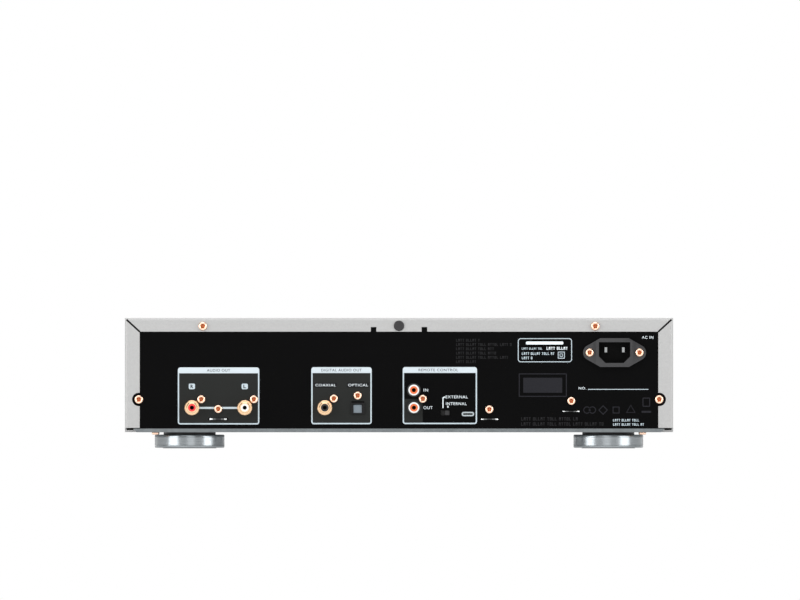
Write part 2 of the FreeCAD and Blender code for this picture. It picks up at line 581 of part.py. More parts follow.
def key_pill(name, spot, grow, y_rear, depth):
    return pill(name, f"{spot}_x", f"{spot}_z", f"(key_half + {grow})", f"(key_r + {grow})", y_rear, depth)


def front_shell():
    """The solid front with its outer edges rounded."""
    body = doc.addObject("PartDesign::Body", "FrontShell")
    pad = body.newObject("PartDesign::Pad", "FrontPad")
    pad.Profile = outline(body, "FrontOutline", [
        ("-half_width", "front_low"), ("half_width", "front_low"), ("half_width", "top_z"),
        ("-half_width", "top_z")])
    bind(pad, "Length", "cover_front - front_y")
    doc.recompute()
    face = max(edge.CenterOfMass.z for edge in pad.Shape.Edges)
    rim = [f"Edge{number}" for number, edge in enumerate(pad.Shape.Edges, 1)
           if abs(edge.CenterOfMass.z - face) < 0.01]
    soft = body.newObject("PartDesign::Fillet", "FrontRim")
    soft.Base = (pad, rim)
    bind(soft, "Radius", "front_round")
    body.Tip = soft
    return place_at(body, (0, "cover_front", 0), "-y")


def front_mouths():
    """The hollow behind the front and the openings through it."""
    through = ("front_y - 1", "cover_front + 1")
    deep = "cover_front - front_y + 1"
    round_mouths = (("PowerMouth", "power_key", "power_r + key_gap"),
                    ("LevelMouth", "level", "spindle_hole_r"),
                    ("PhonesMouth", "phones", "phones_neck_r"))
    tools = [block("FrontHollow", ("front_rim - half_width", "half_width - front_rim"),
                   ("front_y + front_wall", "cover_front + 1"),
                   ("front_low + front_rim", "top_z - front_rim")),
             block("DoorMouth", ("-door_half - door_gap", "door_half + door_gap"), through,
                   ("door_low - door_gap", "door_high + door_gap")),
             block("WindowMouth", ("-window_half - window_gap", "window_half + window_gap"), through,
                   ("window_low - window_gap", "window_high + window_gap"))]
    tools += [rod(name, (f"{spot}_x", "cover_front", f"{spot}_z"), "-y", radius, deep)
              for name, spot, radius in round_mouths]
    tools += [key_pill(f"{spot}Mouth".title().replace("_", ""), spot, "key_gap", "cover_front", deep)
              for spot in FRONT_KEYS]
    return tools


def make_front_panel():
    keep("front_panel", cut("FrontPanel", front_shell(), front_mouths()))


def make_display():
    keep("display_window", block("DisplayWindow", ("-window_half", "window_half"),
                                 ("front_y", "front_y + front_wall"), ("window_low", "window_high")))
    keep("display_module", block("DisplayModule", ("-window_half + 4", "window_half - 4"),
                                 ("front_y + front_wall + 0.5", "board_y"),
                                 ("module_low", "window_high - 2")))


def make_keys():
    wall_rear = "(front_y + front_wall)"
    lip_front = f"({wall_rear} + lip_gap)"
    names = {"open_key": "open_close_button", "play_key": "play_button", "stop_key": "stop_button",
             "back_key": "skip_back_button", "next_key": "skip_forward_button"}
    for spot, node in names.items():
        tag = spot.title().replace("_", "")
        cap = key_pill(f"{tag}Cap", spot, "0", f"{lip_front} + key_lip",
                       "front_wall + lip_gap + key_lip + key_proud")
        lip = key_pill(f"{tag}Lip", spot, "1", f"{lip_front} + key_lip", "key_lip")
        stem = rod(f"{tag}Stem", (f"{spot}_x", "stem_end", f"{spot}_z"), "-y", "stem_r",
                   f"stem_end - {lip_front}")
        keep(node, fuse(tag, [cap, lip, stem]))
    keep("power_button", lathe("PowerKey", [
        (0, "-stem_end"), ("stem_r", "-stem_end"), ("stem_r", f"-{lip_front} - key_lip"),
        ("power_r + 1", f"-{lip_front} - key_lip"), ("power_r + 1", f"-{lip_front}"),
        ("power_r", f"-{lip_front}"), ("power_r", "power_proud - 0.6 - front_y"),
        ("power_r - 0.6", "power_proud - front_y"), (0, "power_proud - front_y")],
        ("power_key_x", 0, "power_key_z"), "-y"))


def make_level_knob():
    keep("level_knob", lathe("LevelKnob", [
        (0, "spindle_root - board_y"), ("spindle_r", "spindle_root - board_y"),
        ("spindle_r", "knob_gap - front_y"),
        ("knob_r - 0.3", "knob_gap - front_y"), ("knob_r", "knob_gap + 0.4 - front_y"),
        ("knob_r", "-knob_front - 0.8"), ("knob_r - 0.8", "-knob_front"), (0, "-knob_front")],
        ("level_x", 0, "level_z"), "-y"))


def make_headphone_jack():
    turned = lathe("PhonesBarrel", [
        ("phones_r", "-phones_end"), ("phones_neck_r", "-phones_end"),
        ("phones_neck_r", "-front_y"), ("phones_nut_r", "-front_y"),
        ("phones_nut_r", "-phones_front - 0.5"), ("phones_nut_r - 0.5", "-phones_front"),
        ("phones_r", "-phones_front")], ("phones_x", 0, "phones_z"), "-y")
    case = block("PhonesCase", ("phones_x - phones_half", "phones_x + phones_half"),
                 ("front_y + front_wall", "phones_end"),
                 ("phones_z - phones_half", "phones_z + phones_half"))
    bore = rod("PhonesBore", ("phones_x", "phones_end + 1", "phones_z"), "-y", "phones_r", 40)
    keep("headphone_jack", cut("HeadphoneJack", fuse("PhonesBody", [turned, case]), [bore]))


# ---------------------------------------------------------------- loader and tray

def make_tray():
    plate = block("TrayPlate", ("-tray_half", "tray_half"), ("front_y + front_wall", "tray_rear"),
                  ("tray_low", "tray_high"))
    wells = [rod("DiscWell", (0, "disc_y", f"tray_high - {deep}"), "z", radius, 5)
             for radius, deep in (("well_r", "well_deep"), ("small_well_r", "small_well_deep"))]
    slot = block("TraySlot", ("-slot_half", "slot_half"), ("slot_front", "tray_rear + 1"),
                 ("tray_low - 1", "tray_high + 1"))
    first = f"(drive_y - 3.5 * {math.pi} * drive_module)"
    teeth = rack("TrayRack", TRAY_TEETH, "drive_module", first, "rack_x", "rack_x - rack_body",
                 "rack_low", "tray_low")
    keep("disc_tray", fuse("DiscTray", [cut("TrayDish", plate, wells + [slot]), teeth]))
    keep("tray_door", block("TrayDoor", ("-door_half", "door_half"), ("front_y", "front_y + front_wall"),
                            ("door_low", "door_high")))


def belt_outline(name, grow, low, high):
    """The outline of the belt's loop round both pulleys, grown outwards, as a solid."""
    gap = "belt_gap"
    circles = [(PINION_AT, "pulley_r"), (("motor_x", "motor_y"), "motor_pulley_r")]
    x_big, y_big = value_at("pinion_x"), value_at("pinion_y")
    x_small, y_small = value_at("motor_x"), value_at("motor_y")
    run = math.hypot(x_small - x_big, y_small - y_big)
    heading = math.atan2(y_small - y_big, x_small - x_big)
    lean = math.acos((value_at("pulley_r") - value_at("motor_pulley_r")) / run)
    corners = []
    for side in (1, -1):
        angle = heading + side * lean
        ends = [(centre, f"({radius} - 1 + {gap} + {grow})") for centre, radius in circles]
        ends = ends if side == 1 else ends[::-1]
        corners += [(f"{x} + {reach} * {math.cos(angle)}", f"{y} + {reach} * {math.sin(angle)}")
                    for (x, y), reach in ends]
    loop = [prism(f"{name}Runs", corners, (0, 0, low), "z", f"{high} - {low}")]
    loop += [rod(f"{name}Bend", (x, y, low), "z", f"{radius} - 1 + {gap} + {grow}", f"{high} - {low}")
             for (x, y), radius in circles]
    return fuse(name, loop)


def value_at(alias):
    return sheet.get(alias)


def set_gear_centres():
    """Adds the gear centres that follow from the tooth counts to the spreadsheet."""
    angle = math.radians(DRIVE_TOOTH_ANGLE)
    drive = "rack_x + drive_teeth * drive_module / 2"
    reach = "(drive_teeth + pinion_teeth) * drive_module / 2"
    rows = {
        "drive_x": drive,
        "pinion_x": f"{drive} + {reach} * {math.cos(angle)}",
        "pinion_y": f"drive_y + {reach} * {math.sin(angle)}",
        "sled_gear_x": "sled_rack_x + sled_teeth * sled_module / 2",
        "sled_motor_x": "sled_gear_x + (fine_teeth + fine_pinion_teeth) * fine_module / 2",
    }
    for row, (alias, formula) in enumerate(rows.items(), len(SIZES) + 1):
        sheet.set(f"A{row}", alias)
        sheet.set(f"B{row}", "=" + formula)
        sheet.setAlias(f"B{row}", alias)
    SIZES.update(dict.fromkeys(rows))
    doc.recompute()


def grooved(radius, low, high):
    """The outline of a pulley rim with a groove a millimetre deep."""
    return [(radius, low), (radius, f"{low} + 0.5"), (f"{radius} - 1", f"{low} + 0.8"),
            (f"{radius} - 1", f"{high} - 0.8"), (radius, f"{high} - 0.5"), (radius, high)]


def make_loading_drive():
    teeth = toothed("DriveTeeth", "drive_teeth", "drive_module", "gear_low", "gear_high",
                    ("drive_x", "drive_y"))
    low = "shelf_high + running_gap"
    hub = rod("DriveHub", ("drive_x", "drive_y", low), "z", "hub_r", f"gear_low - ({low}) + 1")
    axle = rod("DriveAxle", ("drive_x", "drive_y", "shelf_low"), "z", "axle_r", "gear_low - shelf_low")
    keep("drive_gear", fuse("DriveGear", [teeth, hub, axle]))
    pinion = toothed("PulleyPinion", "pinion_teeth", "drive_module", "pulley_high", "gear_high",
                     PINION_AT, PINION_SPIN)
    big_rim = grooved("pulley_r", low, "pulley_high")
    wheel = lathe("PulleyWheel", [(0, low)] + big_rim + [(0, "pulley_high")], (*PINION_AT, 0))
    shaft = rod("PulleyAxle", (*PINION_AT, "shelf_low"), "z", "axle_r", "pulley_high - shelf_low")
    keep("belt_pulley", fuse("BeltPulley", [pinion, wheel, shaft]))


def make_loading_motor():
    low = "shelf_high + running_gap"
    foot = [(0, "shelf_low - 1"), ("motor_shaft_r", "shelf_low - 1"), ("motor_shaft_r", low)]
    small_rim = grooved("motor_pulley_r", low, "pulley_high")
    keep("motor_pulley", lathe("MotorPulley", foot + small_rim + [(0, "pulley_high")],
                               ("motor_x", "motor_y", 0)))
    band = ("(shelf_high + 1.3)", "(pulley_high - 0.9)")
    keep("loading_belt", cut("LoadingBelt", belt_outline("BeltOuter", "belt_thick", *band),
                             [belt_outline("BeltInner", "0", *band)]))
    can = rod("LoadingMotorCan", ("motor_x", "motor_y", "shelf_low - motor_can_high"), "z",
              "motor_can_r", "motor_can_high")
    bore = rod("LoadingMotorBore", ("motor_x", "motor_y", "shelf_low - 1.2"), "z", "motor_bore_r", 2)
    keep("loading_motor", cut("LoadingMotor", can, [bore]))


def make_loader_frame():
    along = ("shelf_front", "rail_rear")
    pieces = mirrored_blocks("LoaderRail", ("rail_in", "rail_out"), along, ("rail_low", "rail_high"))
    pieces += mirrored_blocks("LowerLedge", ("ledge_in", "rail_in"), along,
                              ("tray_low - ledge_gap - ledge_thick", "tray_low - ledge_gap"))
    pieces += mirrored_blocks("UpperLedge", ("ledge_in", "rail_in"), along,
                              ("tray_high + ledge_gap", "tray_high + ledge_gap + ledge_thick"))
    pieces += mirrored_blocks("PivotBlock", ("ledge_in", "rail_in"), ("pivot_y - 7", "pivot_y + 7"),
                              ("rail_low", "pivot_z + 7"))
    for leg in ("leg_front_y", "leg_rear_y"):
        pieces += mirrored_blocks("LoaderLeg", ("rail_out - 6", "rail_out + 4"),
                                  (f"{leg} - leg_half", f"{leg} + leg_half"),
                                  ("panel_low", "rail_low + 8"))
    pieces.append(block("LoaderShelf", ("-rail_out", "rail_out"), ("shelf_front", "shelf_rear"),
                        ("shelf_low", "shelf_high")))
    pieces.append(block("LoaderRear", ("-rail_out", "rail_out"), ("rail_rear - 3", "rail_rear"),
                        ("rail_low", "tray_low - ledge_gap")))
    holes = [rod("PivotHole", ("-rail_out - 1", "pivot_y", "pivot_z"), "x", "pivot_hole_r",
                 "rail_out * 2 + 2"),
             rod("DriveAxleHole", ("drive_x", "drive_y", "shelf_low - 1"), "z", "axle_hole_r", 5),
             rod("PulleyAxleHole", (*PINION_AT, "shelf_low - 1"), "z", "axle_hole_r", 5),
             rod("MotorShaftHole", ("motor_x", "motor_y", "shelf_low - 1"), "z", "motor_hole_r", 5)]
    keep("loader_frame", cut("LoaderFrame", fuse("LoaderMould", pieces), holes))


def make_clamper():
    plate = block("BridgePlate", ("-rail_out", "rail_out"),
                  ("disc_y - bridge_half_y", "disc_y + bridge_half_y"), ("rail_high", "bridge_high"))
    hole = rod("BridgeHole", (0, "disc_y", "rail_high - 1"), "z", "puck_hole_r", 4)
    keep("clamper_bridge", cut("ClamperBridge", plate, [hole]))
    keep("clamper", lathe("Clamper", [
        (0, "puck_well_top"), ("puck_well_r", "puck_well_top"), ("puck_well_r", "puck_low"),
        ("puck_r", "puck_low"), ("puck_r", "puck_high - 1"), ("puck_r - 1", "puck_high"),
        ("puck_neck_r", "puck_high"), ("puck_neck_r", "puck_top_low"), ("puck_top_r", "puck_top_low"),
        ("puck_top_r", "puck_top"), (0, "puck_top")], (0, "disc_y", 0)))


# ---------------------------------------------------------------- traverse

def two_rods(name):
    """The two rods that the sled runs on."""
    return [rod(name, (f"{side}rod_x", "rod_front", "rod_z"), "y", "rod_r", "rod_rear - rod_front")
            for side in ("", "-")]


def make_traverse_frame():
    plate = block("TraversePlate", ("-frame_half", "frame_half"), ("frame_front", "frame_rear"),
                  ("frame_low", "frame_high"))
    window = block("TraverseWindow", ("-rod_x + 4", "rod_x - 4"),
                   ("disc_y + spin_motor_r + 4", "rod_rear - 4"), ("frame_low - 1", "frame_high + 1"))
    posts = []
    for y_span in (("rod_front - 2", "rod_front + 3"), ("rod_rear - 3", "rod_rear + 2")):
        posts += mirrored_blocks("RodPost", ("rod_x - 2.5", "rod_x + 2.5"), y_span,
                                 ("frame_high - 0.5", "rod_z + rod_r + 1"))
    pins = [rod("PivotPin", (f"{side}(ledge_in - 5)", "pivot_y", "pivot_z"), f"{side}x", "pivot_r", 10)
            for side in ("", "-")]
    lug = block("CamLug", ("-4", "4"), ("frame_front - 2", "frame_front + 1"), ("frame_low", "frame_high"))
    pin = rod("CamPin", (0, "frame_front - 2", "cam_pin_z"), "-y", "cam_pin_r", 5)
    holes = [rod("SpinMotorHole", (0, "disc_y", "frame_low - 1"), "z", "spin_boss_r", 5),
             rod("SledMotorHole", ("sled_motor_x", "sled_gear_y", "frame_low - 1"), "z",
                 "motor_hole_r", 5),
             rod("SledGearHole", ("sled_gear_x", "sled_gear_y", "frame_low - 1"), "z",
                 "sled_axle_hole_r", 5)]
    rods = two_rods("RodSocket")
    solid = fuse("TraverseMould", [plate, lug, pin] + posts + pins)
    keep("traverse_frame", cut("TraverseFrame", solid, [window] + holes + rods))
    keep("guide_rods", group("GuideRods", two_rods("GuideRod")))


def make_cam_slider():
    bar = block("CamBar", ("-cam_half", "cam_half"), ("cam_front", "cam_front + cam_thick"),
                ("cam_low", "cam_high"))
    rise = "cam_drop / cam_shift"
    ends = {"near": ("1.2", "cam_pin_z + 1.2 * " + rise),
            "far": ("-cam_shift - 1.2", "cam_pin_z - cam_drop - 1.2 * " + rise)}
    height = "(cam_slot_half * 1.103)"
    near, far = ends["near"], ends["far"]
    slot = prism("CamSlot", [
        (far[0], f"{far[1]} - {height}"), (near[0], f"{near[1]} - {height}"),
        (near[0], f"{near[1]} + {height}"), (far[0], f"{far[1]} + {height}")],
        (0, "cam_front + cam_thick + 1", 0), "-y", "cam_thick + 2")
    rounds = [rod("CamSlotEnd", (x, "cam_front + cam_thick + 1", z), "-y", "cam_slot_half", "cam_thick + 2")
              for x, z in ends.values()]
    keep("cam_slider", cut("CamSlider", bar, [slot] + rounds))


def make_spindle():
    keep("turntable", lathe("Turntable", [
        (0, "frame_low - 2"), ("spin_shaft_r", "frame_low - 2"), ("spin_shaft_r", "sled_low + 3"),
        ("cone_r - 1", "sled_low + 3"), ("cone_r - 1", "table_low"), ("table_r", "table_low"),
        ("table_r", "table_high"), ("cone_r", "table_high"), ("cone_r - 1.6", "cone_top"), (0, "cone_top")],
        (0, "disc_y", 0)))
    can = rod("SpinCan", (0, "disc_y", "spin_motor_low"), "z", "spin_motor_r",
              "frame_low - spin_motor_low")
    boss = rod("SpinBoss", (0, "disc_y", "frame_low - 1"), "z", "spin_boss_r",
               "sled_low - frame_low + 1")
    bore = rod("SpinBore", (0, "disc_y", "frame_low - 3"), "z", "spin_shaft_r + 0.05", 20)
    keep("spindle_motor", cut("SpindleMotor", fuse("SpinHousing", [can, boss]), [bore]))


def make_sled():
    block_body = block("SledBlock", ("-sled_half", "sled_half"), ("sled_front", "sled_rear"),
                       ("sled_low", "sled_high"))
    arm = block("SledArm", ("sled_half - 1", "sled_rack_x - 1.5"), ("sled_front", "sled_rear"),
                ("sled_gear_low", "sled_gear_high"))
    first = f"(sled_gear_y - 14 * {math.pi} * sled_module)"
    teeth = rack("SledRack", SLED_TEETH, "sled_module", first, "sled_rack_x", "sled_rack_x - 3",
                 "sled_gear_low", "sled_gear_high")
    reach = "(lens_half + coil_gap)"
    wall_spans = ((f"lens_y - {reach} - coil_wall", f"lens_y - {reach}"),
                  (f"lens_y + {reach}", f"lens_y + {reach} + coil_wall"))
    walls = [block("CoilWall", ("-8", "8"), span, ("sled_high - 1", "coil_top")) for span in wall_spans]
    holes = [rod("SledRodHole", (f"{side}rod_x", "sled_front - 1", "rod_z"), "y", "rod_hole_r", 40)
             for side in ("", "-")]
    holes.append(rod("HubRelief", (0, "disc_y", "sled_low - 1"), "z", "table_r + 3.6", 20))
    holes.append(rod("BeamHole", (0, "lens_y", "sled_low - 1"), "z", "lens_r", 10))
    keep("pickup_sled", cut("PickupSled", fuse("SledMould", [block_body, arm, teeth] + walls), holes))


def make_lens():
    holder = block("LensHolder", ("-lens_half * 1.6", "lens_half * 1.6"),
                   ("lens_y - lens_half", "lens_y + lens_half"), ("lens_low", "lens_high - 0.6"))
    bezel = rod("LensBezel", (0, "lens_y", "lens_high - 1"), "z", "lens_r + 0.8", 1)
    dome = rod("LensDome", (0, "lens_y", "lens_high - 0.8"), "z", "lens_r", 1)
    keep("objective_lens", fuse("ObjectiveLens", [holder, bezel, dome]))


def make_sled_drive():
    at = ("sled_gear_x", "sled_gear_y")
    small = toothed("SledTeeth", "sled_teeth", "sled_module", "sled_gear_low", "sled_gear_high", at)
    large = toothed("FineTeeth", "fine_teeth", "fine_module", "fine_low", "fine_high", at)
    axle = rod("SledAxle", (*at, "frame_low"), "z", "sled_axle_r", "sled_gear_high - frame_low")
    neck = rod("SledNeck", (*at, "frame_high + running_gap"), "z", 3,
               "sled_gear_high - frame_high - running_gap")
    keep("sled_gear", fuse("SledGear", [small, large, axle, neck]))
    motor_at = ("sled_motor_x", "sled_gear_y")
    pinion = toothed("FinePinion", "fine_pinion_teeth", "fine_module", "frame_high + 0.6",
                     "sled_gear_low", motor_at, FINE_PINION_SPIN)
    shaft = rod("SledMotorShaft", (*motor_at, "frame_low - 2"), "z", "sled_shaft_r",
                "frame_high - frame_low + 3")
    keep("sled_motor_pinion", fuse("SledMotorPinion", [pinion, shaft]))
    can = rod("SledMotorCan", (*motor_at, "sled_motor_low"), "z", "sled_motor_r",
              "frame_low - sled_motor_low")
    bore = rod("SledMotorBore", (*motor_at, "frame_low - 3"), "z", "sled_bore_r", 4)
    keep("sled_motor", cut("SledMotor", can, [bore]))


# ---------------------------------------------------------------- boards

def make_boards():
    top = "pcb_low + pcb_thick"
    main = block("MainBoard", ("main_left", "main_right"), ("main_front", "main_rear"), ("pcb_low", top))
    supply = block("SupplyBoard", ("supply_left", "supply_right"), ("supply_front", "main_rear"),
                   ("pcb_low", top))
    control = block("ControlBoard", ("-board_half", "board_half"), ("board_y", "board_y + board_thick"),
                    ("board_low", "board_high"))
    tab = block("ControlTab", ("open_key_x - 12", "open_key_x + 12"), ("board_y", "board_y + board_thick"),
                ("board_high - 1", "open_key_z + 8"))
    keep("circuit_boards", group("CircuitBoards", [main, supply, fuse("FrontBoard", [control, tab])]))


def make_board_parts():
    top = "(pcb_low + pcb_thick)"
    pieces = [rod("Capacitor", (x, y, top), "z", radius, height) for x, y, radius, height in CAPACITORS]
    pieces += [block("Chip", (x - wide, x + wide), (y - deep, y + deep), (top, f"{top} + {height}"))
               for x, y, wide, deep, height in CHIPS]
    behind = ("panel_rear - sheet - 14", "panel_rear - sheet")
    pilots = [rod("HousingPilot", (f"{spot}_x", "panel_rear", f"{spot}_z"), "-y", "screw_hole_r", 11)
              for spot in REAR_SCREWS]
    housings = [block("JackHousing", (low, high), behind, (top, tall)) for low, high, tall in (
        ("left_jack_x - 10", "right_jack_x + 10", "left_jack_z + 10"),
        ("coax_jack_x - 10", "coax_jack_x + 9", "coax_jack_z + 10"),
        ("remote_in_x - 9", "remote_in_x + 8", "remote_in_z + 7"))]
    pieces.append(cut("JackHousings", group("HousingBlocks", housings), pilots))
    pieces.append(block("ServicePort", ("port_x - 7", "port_x + 7"), behind, (top, "port_z + 4")))
    pieces += [block("TactSwitch", (f"{spot}_x - 3", f"{spot}_x + 3"), ("switch_front", "board_y"),
                     (f"{spot}_z - 3", f"{spot}_z + 3")) for spot in FRONT_KEYS + ["power_key"]]
    pieces.append(block("LevelControl", ("level_x - 7", "level_x + 7"), ("board_y - 5.5", "board_y"),
                        ("level_z - 7", "level_z + 7")))
    keep("board_parts", group("BoardParts", pieces))


def make_transformer():
    across = ("core_x - core_half_x", "core_x + core_half_x")
    stack = block("CoreStack", across, ("core_y - core_half_y", "core_y + core_half_y"),
                  ("panel_low", "core_high"))
    windows = [block("CoreWindow", (low, high), ("core_y - core_half_y - 1", "core_y + core_half_y + 1"),
                     ("panel_low + core_leg", "core_high - core_leg"))
               for low, high in (("core_x - core_half_x + core_leg", "core_x - core_leg"),
                                 ("core_x + core_leg", "core_x + core_half_x - core_leg"))]
    keep("transformer_core", cut("TransformerCore", stack, windows))
    coil = block("CoilBlock", ("core_x - core_half_x + core_leg", "core_x + core_half_x - core_leg"),
                 ("core_y - coil_half_y", "core_y + coil_half_y"),
                 ("panel_low + core_leg", "core_high - core_leg"))
    leg = block("CoilLeg", ("core_x - core_leg", "core_x + core_leg"),
                ("core_y - core_half_y", "core_y + core_half_y"), ("panel_low", "core_high"))
    keep("transformer_coil", cut("TransformerCoil", coil, [leg]))


# ---------------------------------------------------------------- rear sockets

def make_gold_jacks():
    shell = lathe("GoldShell", [
        ("insert_r", "-sheet"), ("shell_r", "-sheet"), ("shell_r", 0), ("shell_flange_r", 0),
        ("shell_flange_r", 1.2), ("shell_flange_r - 0.6", 1.8), ("shell_r + 0.4", 1.8), ("shell_r", 2.2),
        ("shell_r", "shell_proud - 0.4"), ("shell_r - 0.4", "shell_proud"), ("insert_r", "shell_proud")])
    plug = lathe("GoldInsert", [
        (0, "-sheet"), ("insert_r", "-sheet"), ("insert_r", "shell_proud - insert_short"),
        ("pin_bore_r", "shell_proud - insert_short"), ("pin_bore_r", 0.5), (0, 0.5)])

    def at(*spots):
        return [((f"{spot}_x", "panel_rear", f"{spot}_z"), "y") for spot in spots]

    keep("gold_jack_shells", copies("GoldShells", shell, at("right_jack", "left_jack", "coax_jack")))
    keep("output_insert_red", copies("RedInsert", plug, at("right_jack")))
    keep("output_insert_white", copies("WhiteInsert", plug, at("left_jack")))
    keep("coax_insert", copies("CoaxInsert", plug, at("coax_jack")))


def make_remote_jacks():
    shell = lathe("RemoteShell", [
        ("insert_r", "-sheet"), ("remote_r", "-sheet"), ("remote_r", "remote_proud - 0.5"),
        ("remote_r - 0.5", "remote_proud"), ("insert_r", "remote_proud")])
    plug = lathe("RemoteInsert", [
        (0, "-sheet"), ("insert_r", "-sheet"), ("insert_r", "remote_proud - insert_short"),
        ("pin_bore_r", "remote_proud - insert_short"), ("pin_bore_r", 0.5), (0, 0.5)])
    spots = [((f"{spot}_x", "panel_rear", f"{spot}_z"), "y") for spot in ("remote_in", "remote_out")]
    keep("remote_jack_shells", copies("RemoteShells", shell, spots))
    keep("remote_jack_inserts", copies("RemoteInserts", plug, spots))


def make_optical_jack():
    nose = block("OpticalNose", ("optical_left", "optical_right"),
                 ("panel_rear - 2", "panel_rear + optical_proud"), ("optical_low", "optical_high"))
    case = block("OpticalCase", ("optical_left - 1.5", "optical_right + 1.5"),
                 ("throat_end - 3", "panel_rear - sheet"), ("pcb_low + pcb_thick", "optical_high + 3"))
    throat = block("OpticalThroat", ("throat_left", "throat_right"),
                   ("throat_end", "panel_rear + optical_proud + 1"), ("throat_low", "throat_high"))
    keep("optical_jack", cut("OpticalJack", fuse("OpticalMould", [nose, case]), [throat]))
    across = ("throat_left + flap_gap", "throat_right - flap_gap")
    leaf = block("FlapLeaf", across, ("flap_y - flap_thick / 2", "flap_y + flap_thick / 2"),
                 ("throat_low + flap_gap", "flap_z"))
    hinge = rod("FlapHinge", (across[0], "flap_y", "flap_z"), "x", "flap_thick / 2",
                f"({across[1]}) - ({across[0]})")
    keep("optical_shutter", fuse("OpticalShutter", [leaf, hinge]))


def make_slide_switch():
    case = block("SwitchCase", ("switch_left - 2", "switch_right + 2"),
                 ("panel_rear - sheet - 10", "panel_rear - sheet"), ("switch_low - 2", "switch_high + 2"))
    well = block("SwitchWell", ("switch_left", "switch_right"), ("panel_rear - sheet - 4", "panel_rear + 1"),
                 ("switch_low", "switch_high"))
    keep("slide_switch", cut("SlideSwitch", case, [well]))
    keep("slide_switch_knob", block("SliderKnob", (
        "switch_left + slider_gap", "switch_left + slider_gap + slider_wide"),
        ("panel_rear - sheet - 3.6", "panel_rear + slider_proud"),
        ("switch_low + slider_gap", "switch_high - slider_gap")))


def inlet_outline(depth, name):
    corners = [("-inlet_touch_x", "-inlet_touch_z"), ("-inlet_flat", "-inlet_half_z"),
               ("inlet_flat", "-inlet_half_z"), ("inlet_touch_x", "-inlet_touch_z"),
               ("inlet_touch_x", "inlet_touch_z"), ("inlet_flat", "inlet_half_z"),
               ("-inlet_flat", "inlet_half_z"), ("-inlet_touch_x", "inlet_touch_z")]
    middle = prism(f"{name}Middle", corners, ("inlet_x", f"panel_rear + {depth}", "inlet_z"), "-y", depth)
    ends = [rod(f"{name}End", (f"inlet_x {side} inlet_end", f"panel_rear + {depth}", "inlet_z"), "-y",
                "inlet_end_r", depth) for side in "+-"]
    return fuse(name, [middle] + ends)


def make_mains_inlet():
    flange = inlet_outline("inlet_flange", "InletFlange")
    raised = common("InletRaised", inlet_outline("inlet_proud", "InletTall"),
                    block("InletBand", ("inlet_x - inlet_block", "inlet_x + inlet_block"),
                          ("panel_rear", "panel_rear + inlet_proud"), ("inlet_z - 20", "inlet_z + 20")))
    case = block("InletCase", ("inlet_x - inlet_body_x", "inlet_x + inlet_body_x"),
                 ("inlet_rear", "panel_rear + 1"), ("inlet_z - inlet_body_z", "inlet_z + inlet_body_z"))
    mouth = prism("InletMouth", [
        ("mouth_corner - mouth_half_x", "-mouth_half_z"), ("mouth_half_x - mouth_corner", "-mouth_half_z"),
        ("mouth_half_x", "mouth_corner - mouth_half_z"), ("mouth_half_x", "mouth_half_z"),
        ("-mouth_half_x", "mouth_half_z"), ("-mouth_half_x", "mouth_corner - mouth_half_z")],
        ("inlet_x", "panel_rear + inlet_proud + 1", "inlet_z"), "-y",
        "panel_rear + inlet_proud + 1 - mouth_end")
    holes = [rod("InletScrewWay", (f"inlet_x {side} inlet_screw_x", "panel_rear + 9", "inlet_z"), "-y",
                 "screw_hole_r", 12) for side in "+-"]
    keep("mains_inlet", cut("MainsInlet", fuse("InletMould", [flange, raised, case]), [mouth] + holes))
    prongs = []
    for side in "+-":
        middle = f"inlet_x {side} prong_x"
        prongs.append(block("InletProng", (f"{middle} - prong_wide / 2", f"{middle} + prong_wide / 2"),
                            ("mouth_end", "prong_tip"), ("inlet_z + prong_z - prong_high / 2",
                                                         "inlet_z + prong_z + prong_high / 2")))
    keep("inlet_pins", group("InletPins", prongs))


def check_and_write():
    doc.recompute()
    faults = [item.Name for item in doc.Objects if {"Invalid", "Error"} & set(item.State)]
    for node, item in NODES.items():
        if item.Shape.isNull() or not item.Shape.isValid() or not item.Shape.Solids:
            faults.append(node)
    if faults:
        raise RuntimeError(f"failed objects: {faults}")
    os.makedirs("parts", exist_ok=True)
    for node, item in NODES.items():
        item.Shape.exportStep(f"parts/{node}.step")
    print(len(NODES), "sub-parts written")


set_gear_centres()
make_top_cover()
make_hole_plug()
make_rear_panel()
make_bottom_plate()
make_chassis()
make_feet()
make_screws()
make_front_panel()
make_display()
make_keys()
make_level_knob()
make_headphone_jack()
make_tray()
make_loading_drive()
make_loading_motor()
make_loader_frame()
make_clamper()
make_traverse_frame()
make_cam_slider()
make_spindle()
make_sled()
make_lens()
make_sled_drive()
make_boards()
make_board_parts()
make_transformer()
make_gold_jacks()
make_remote_jacks()
make_optical_jack()
make_slide_switch()
make_mains_inlet()
check_and_write()
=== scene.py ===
import json
import math

import bmesh
import bpy
from mathutils import Matrix, Vector


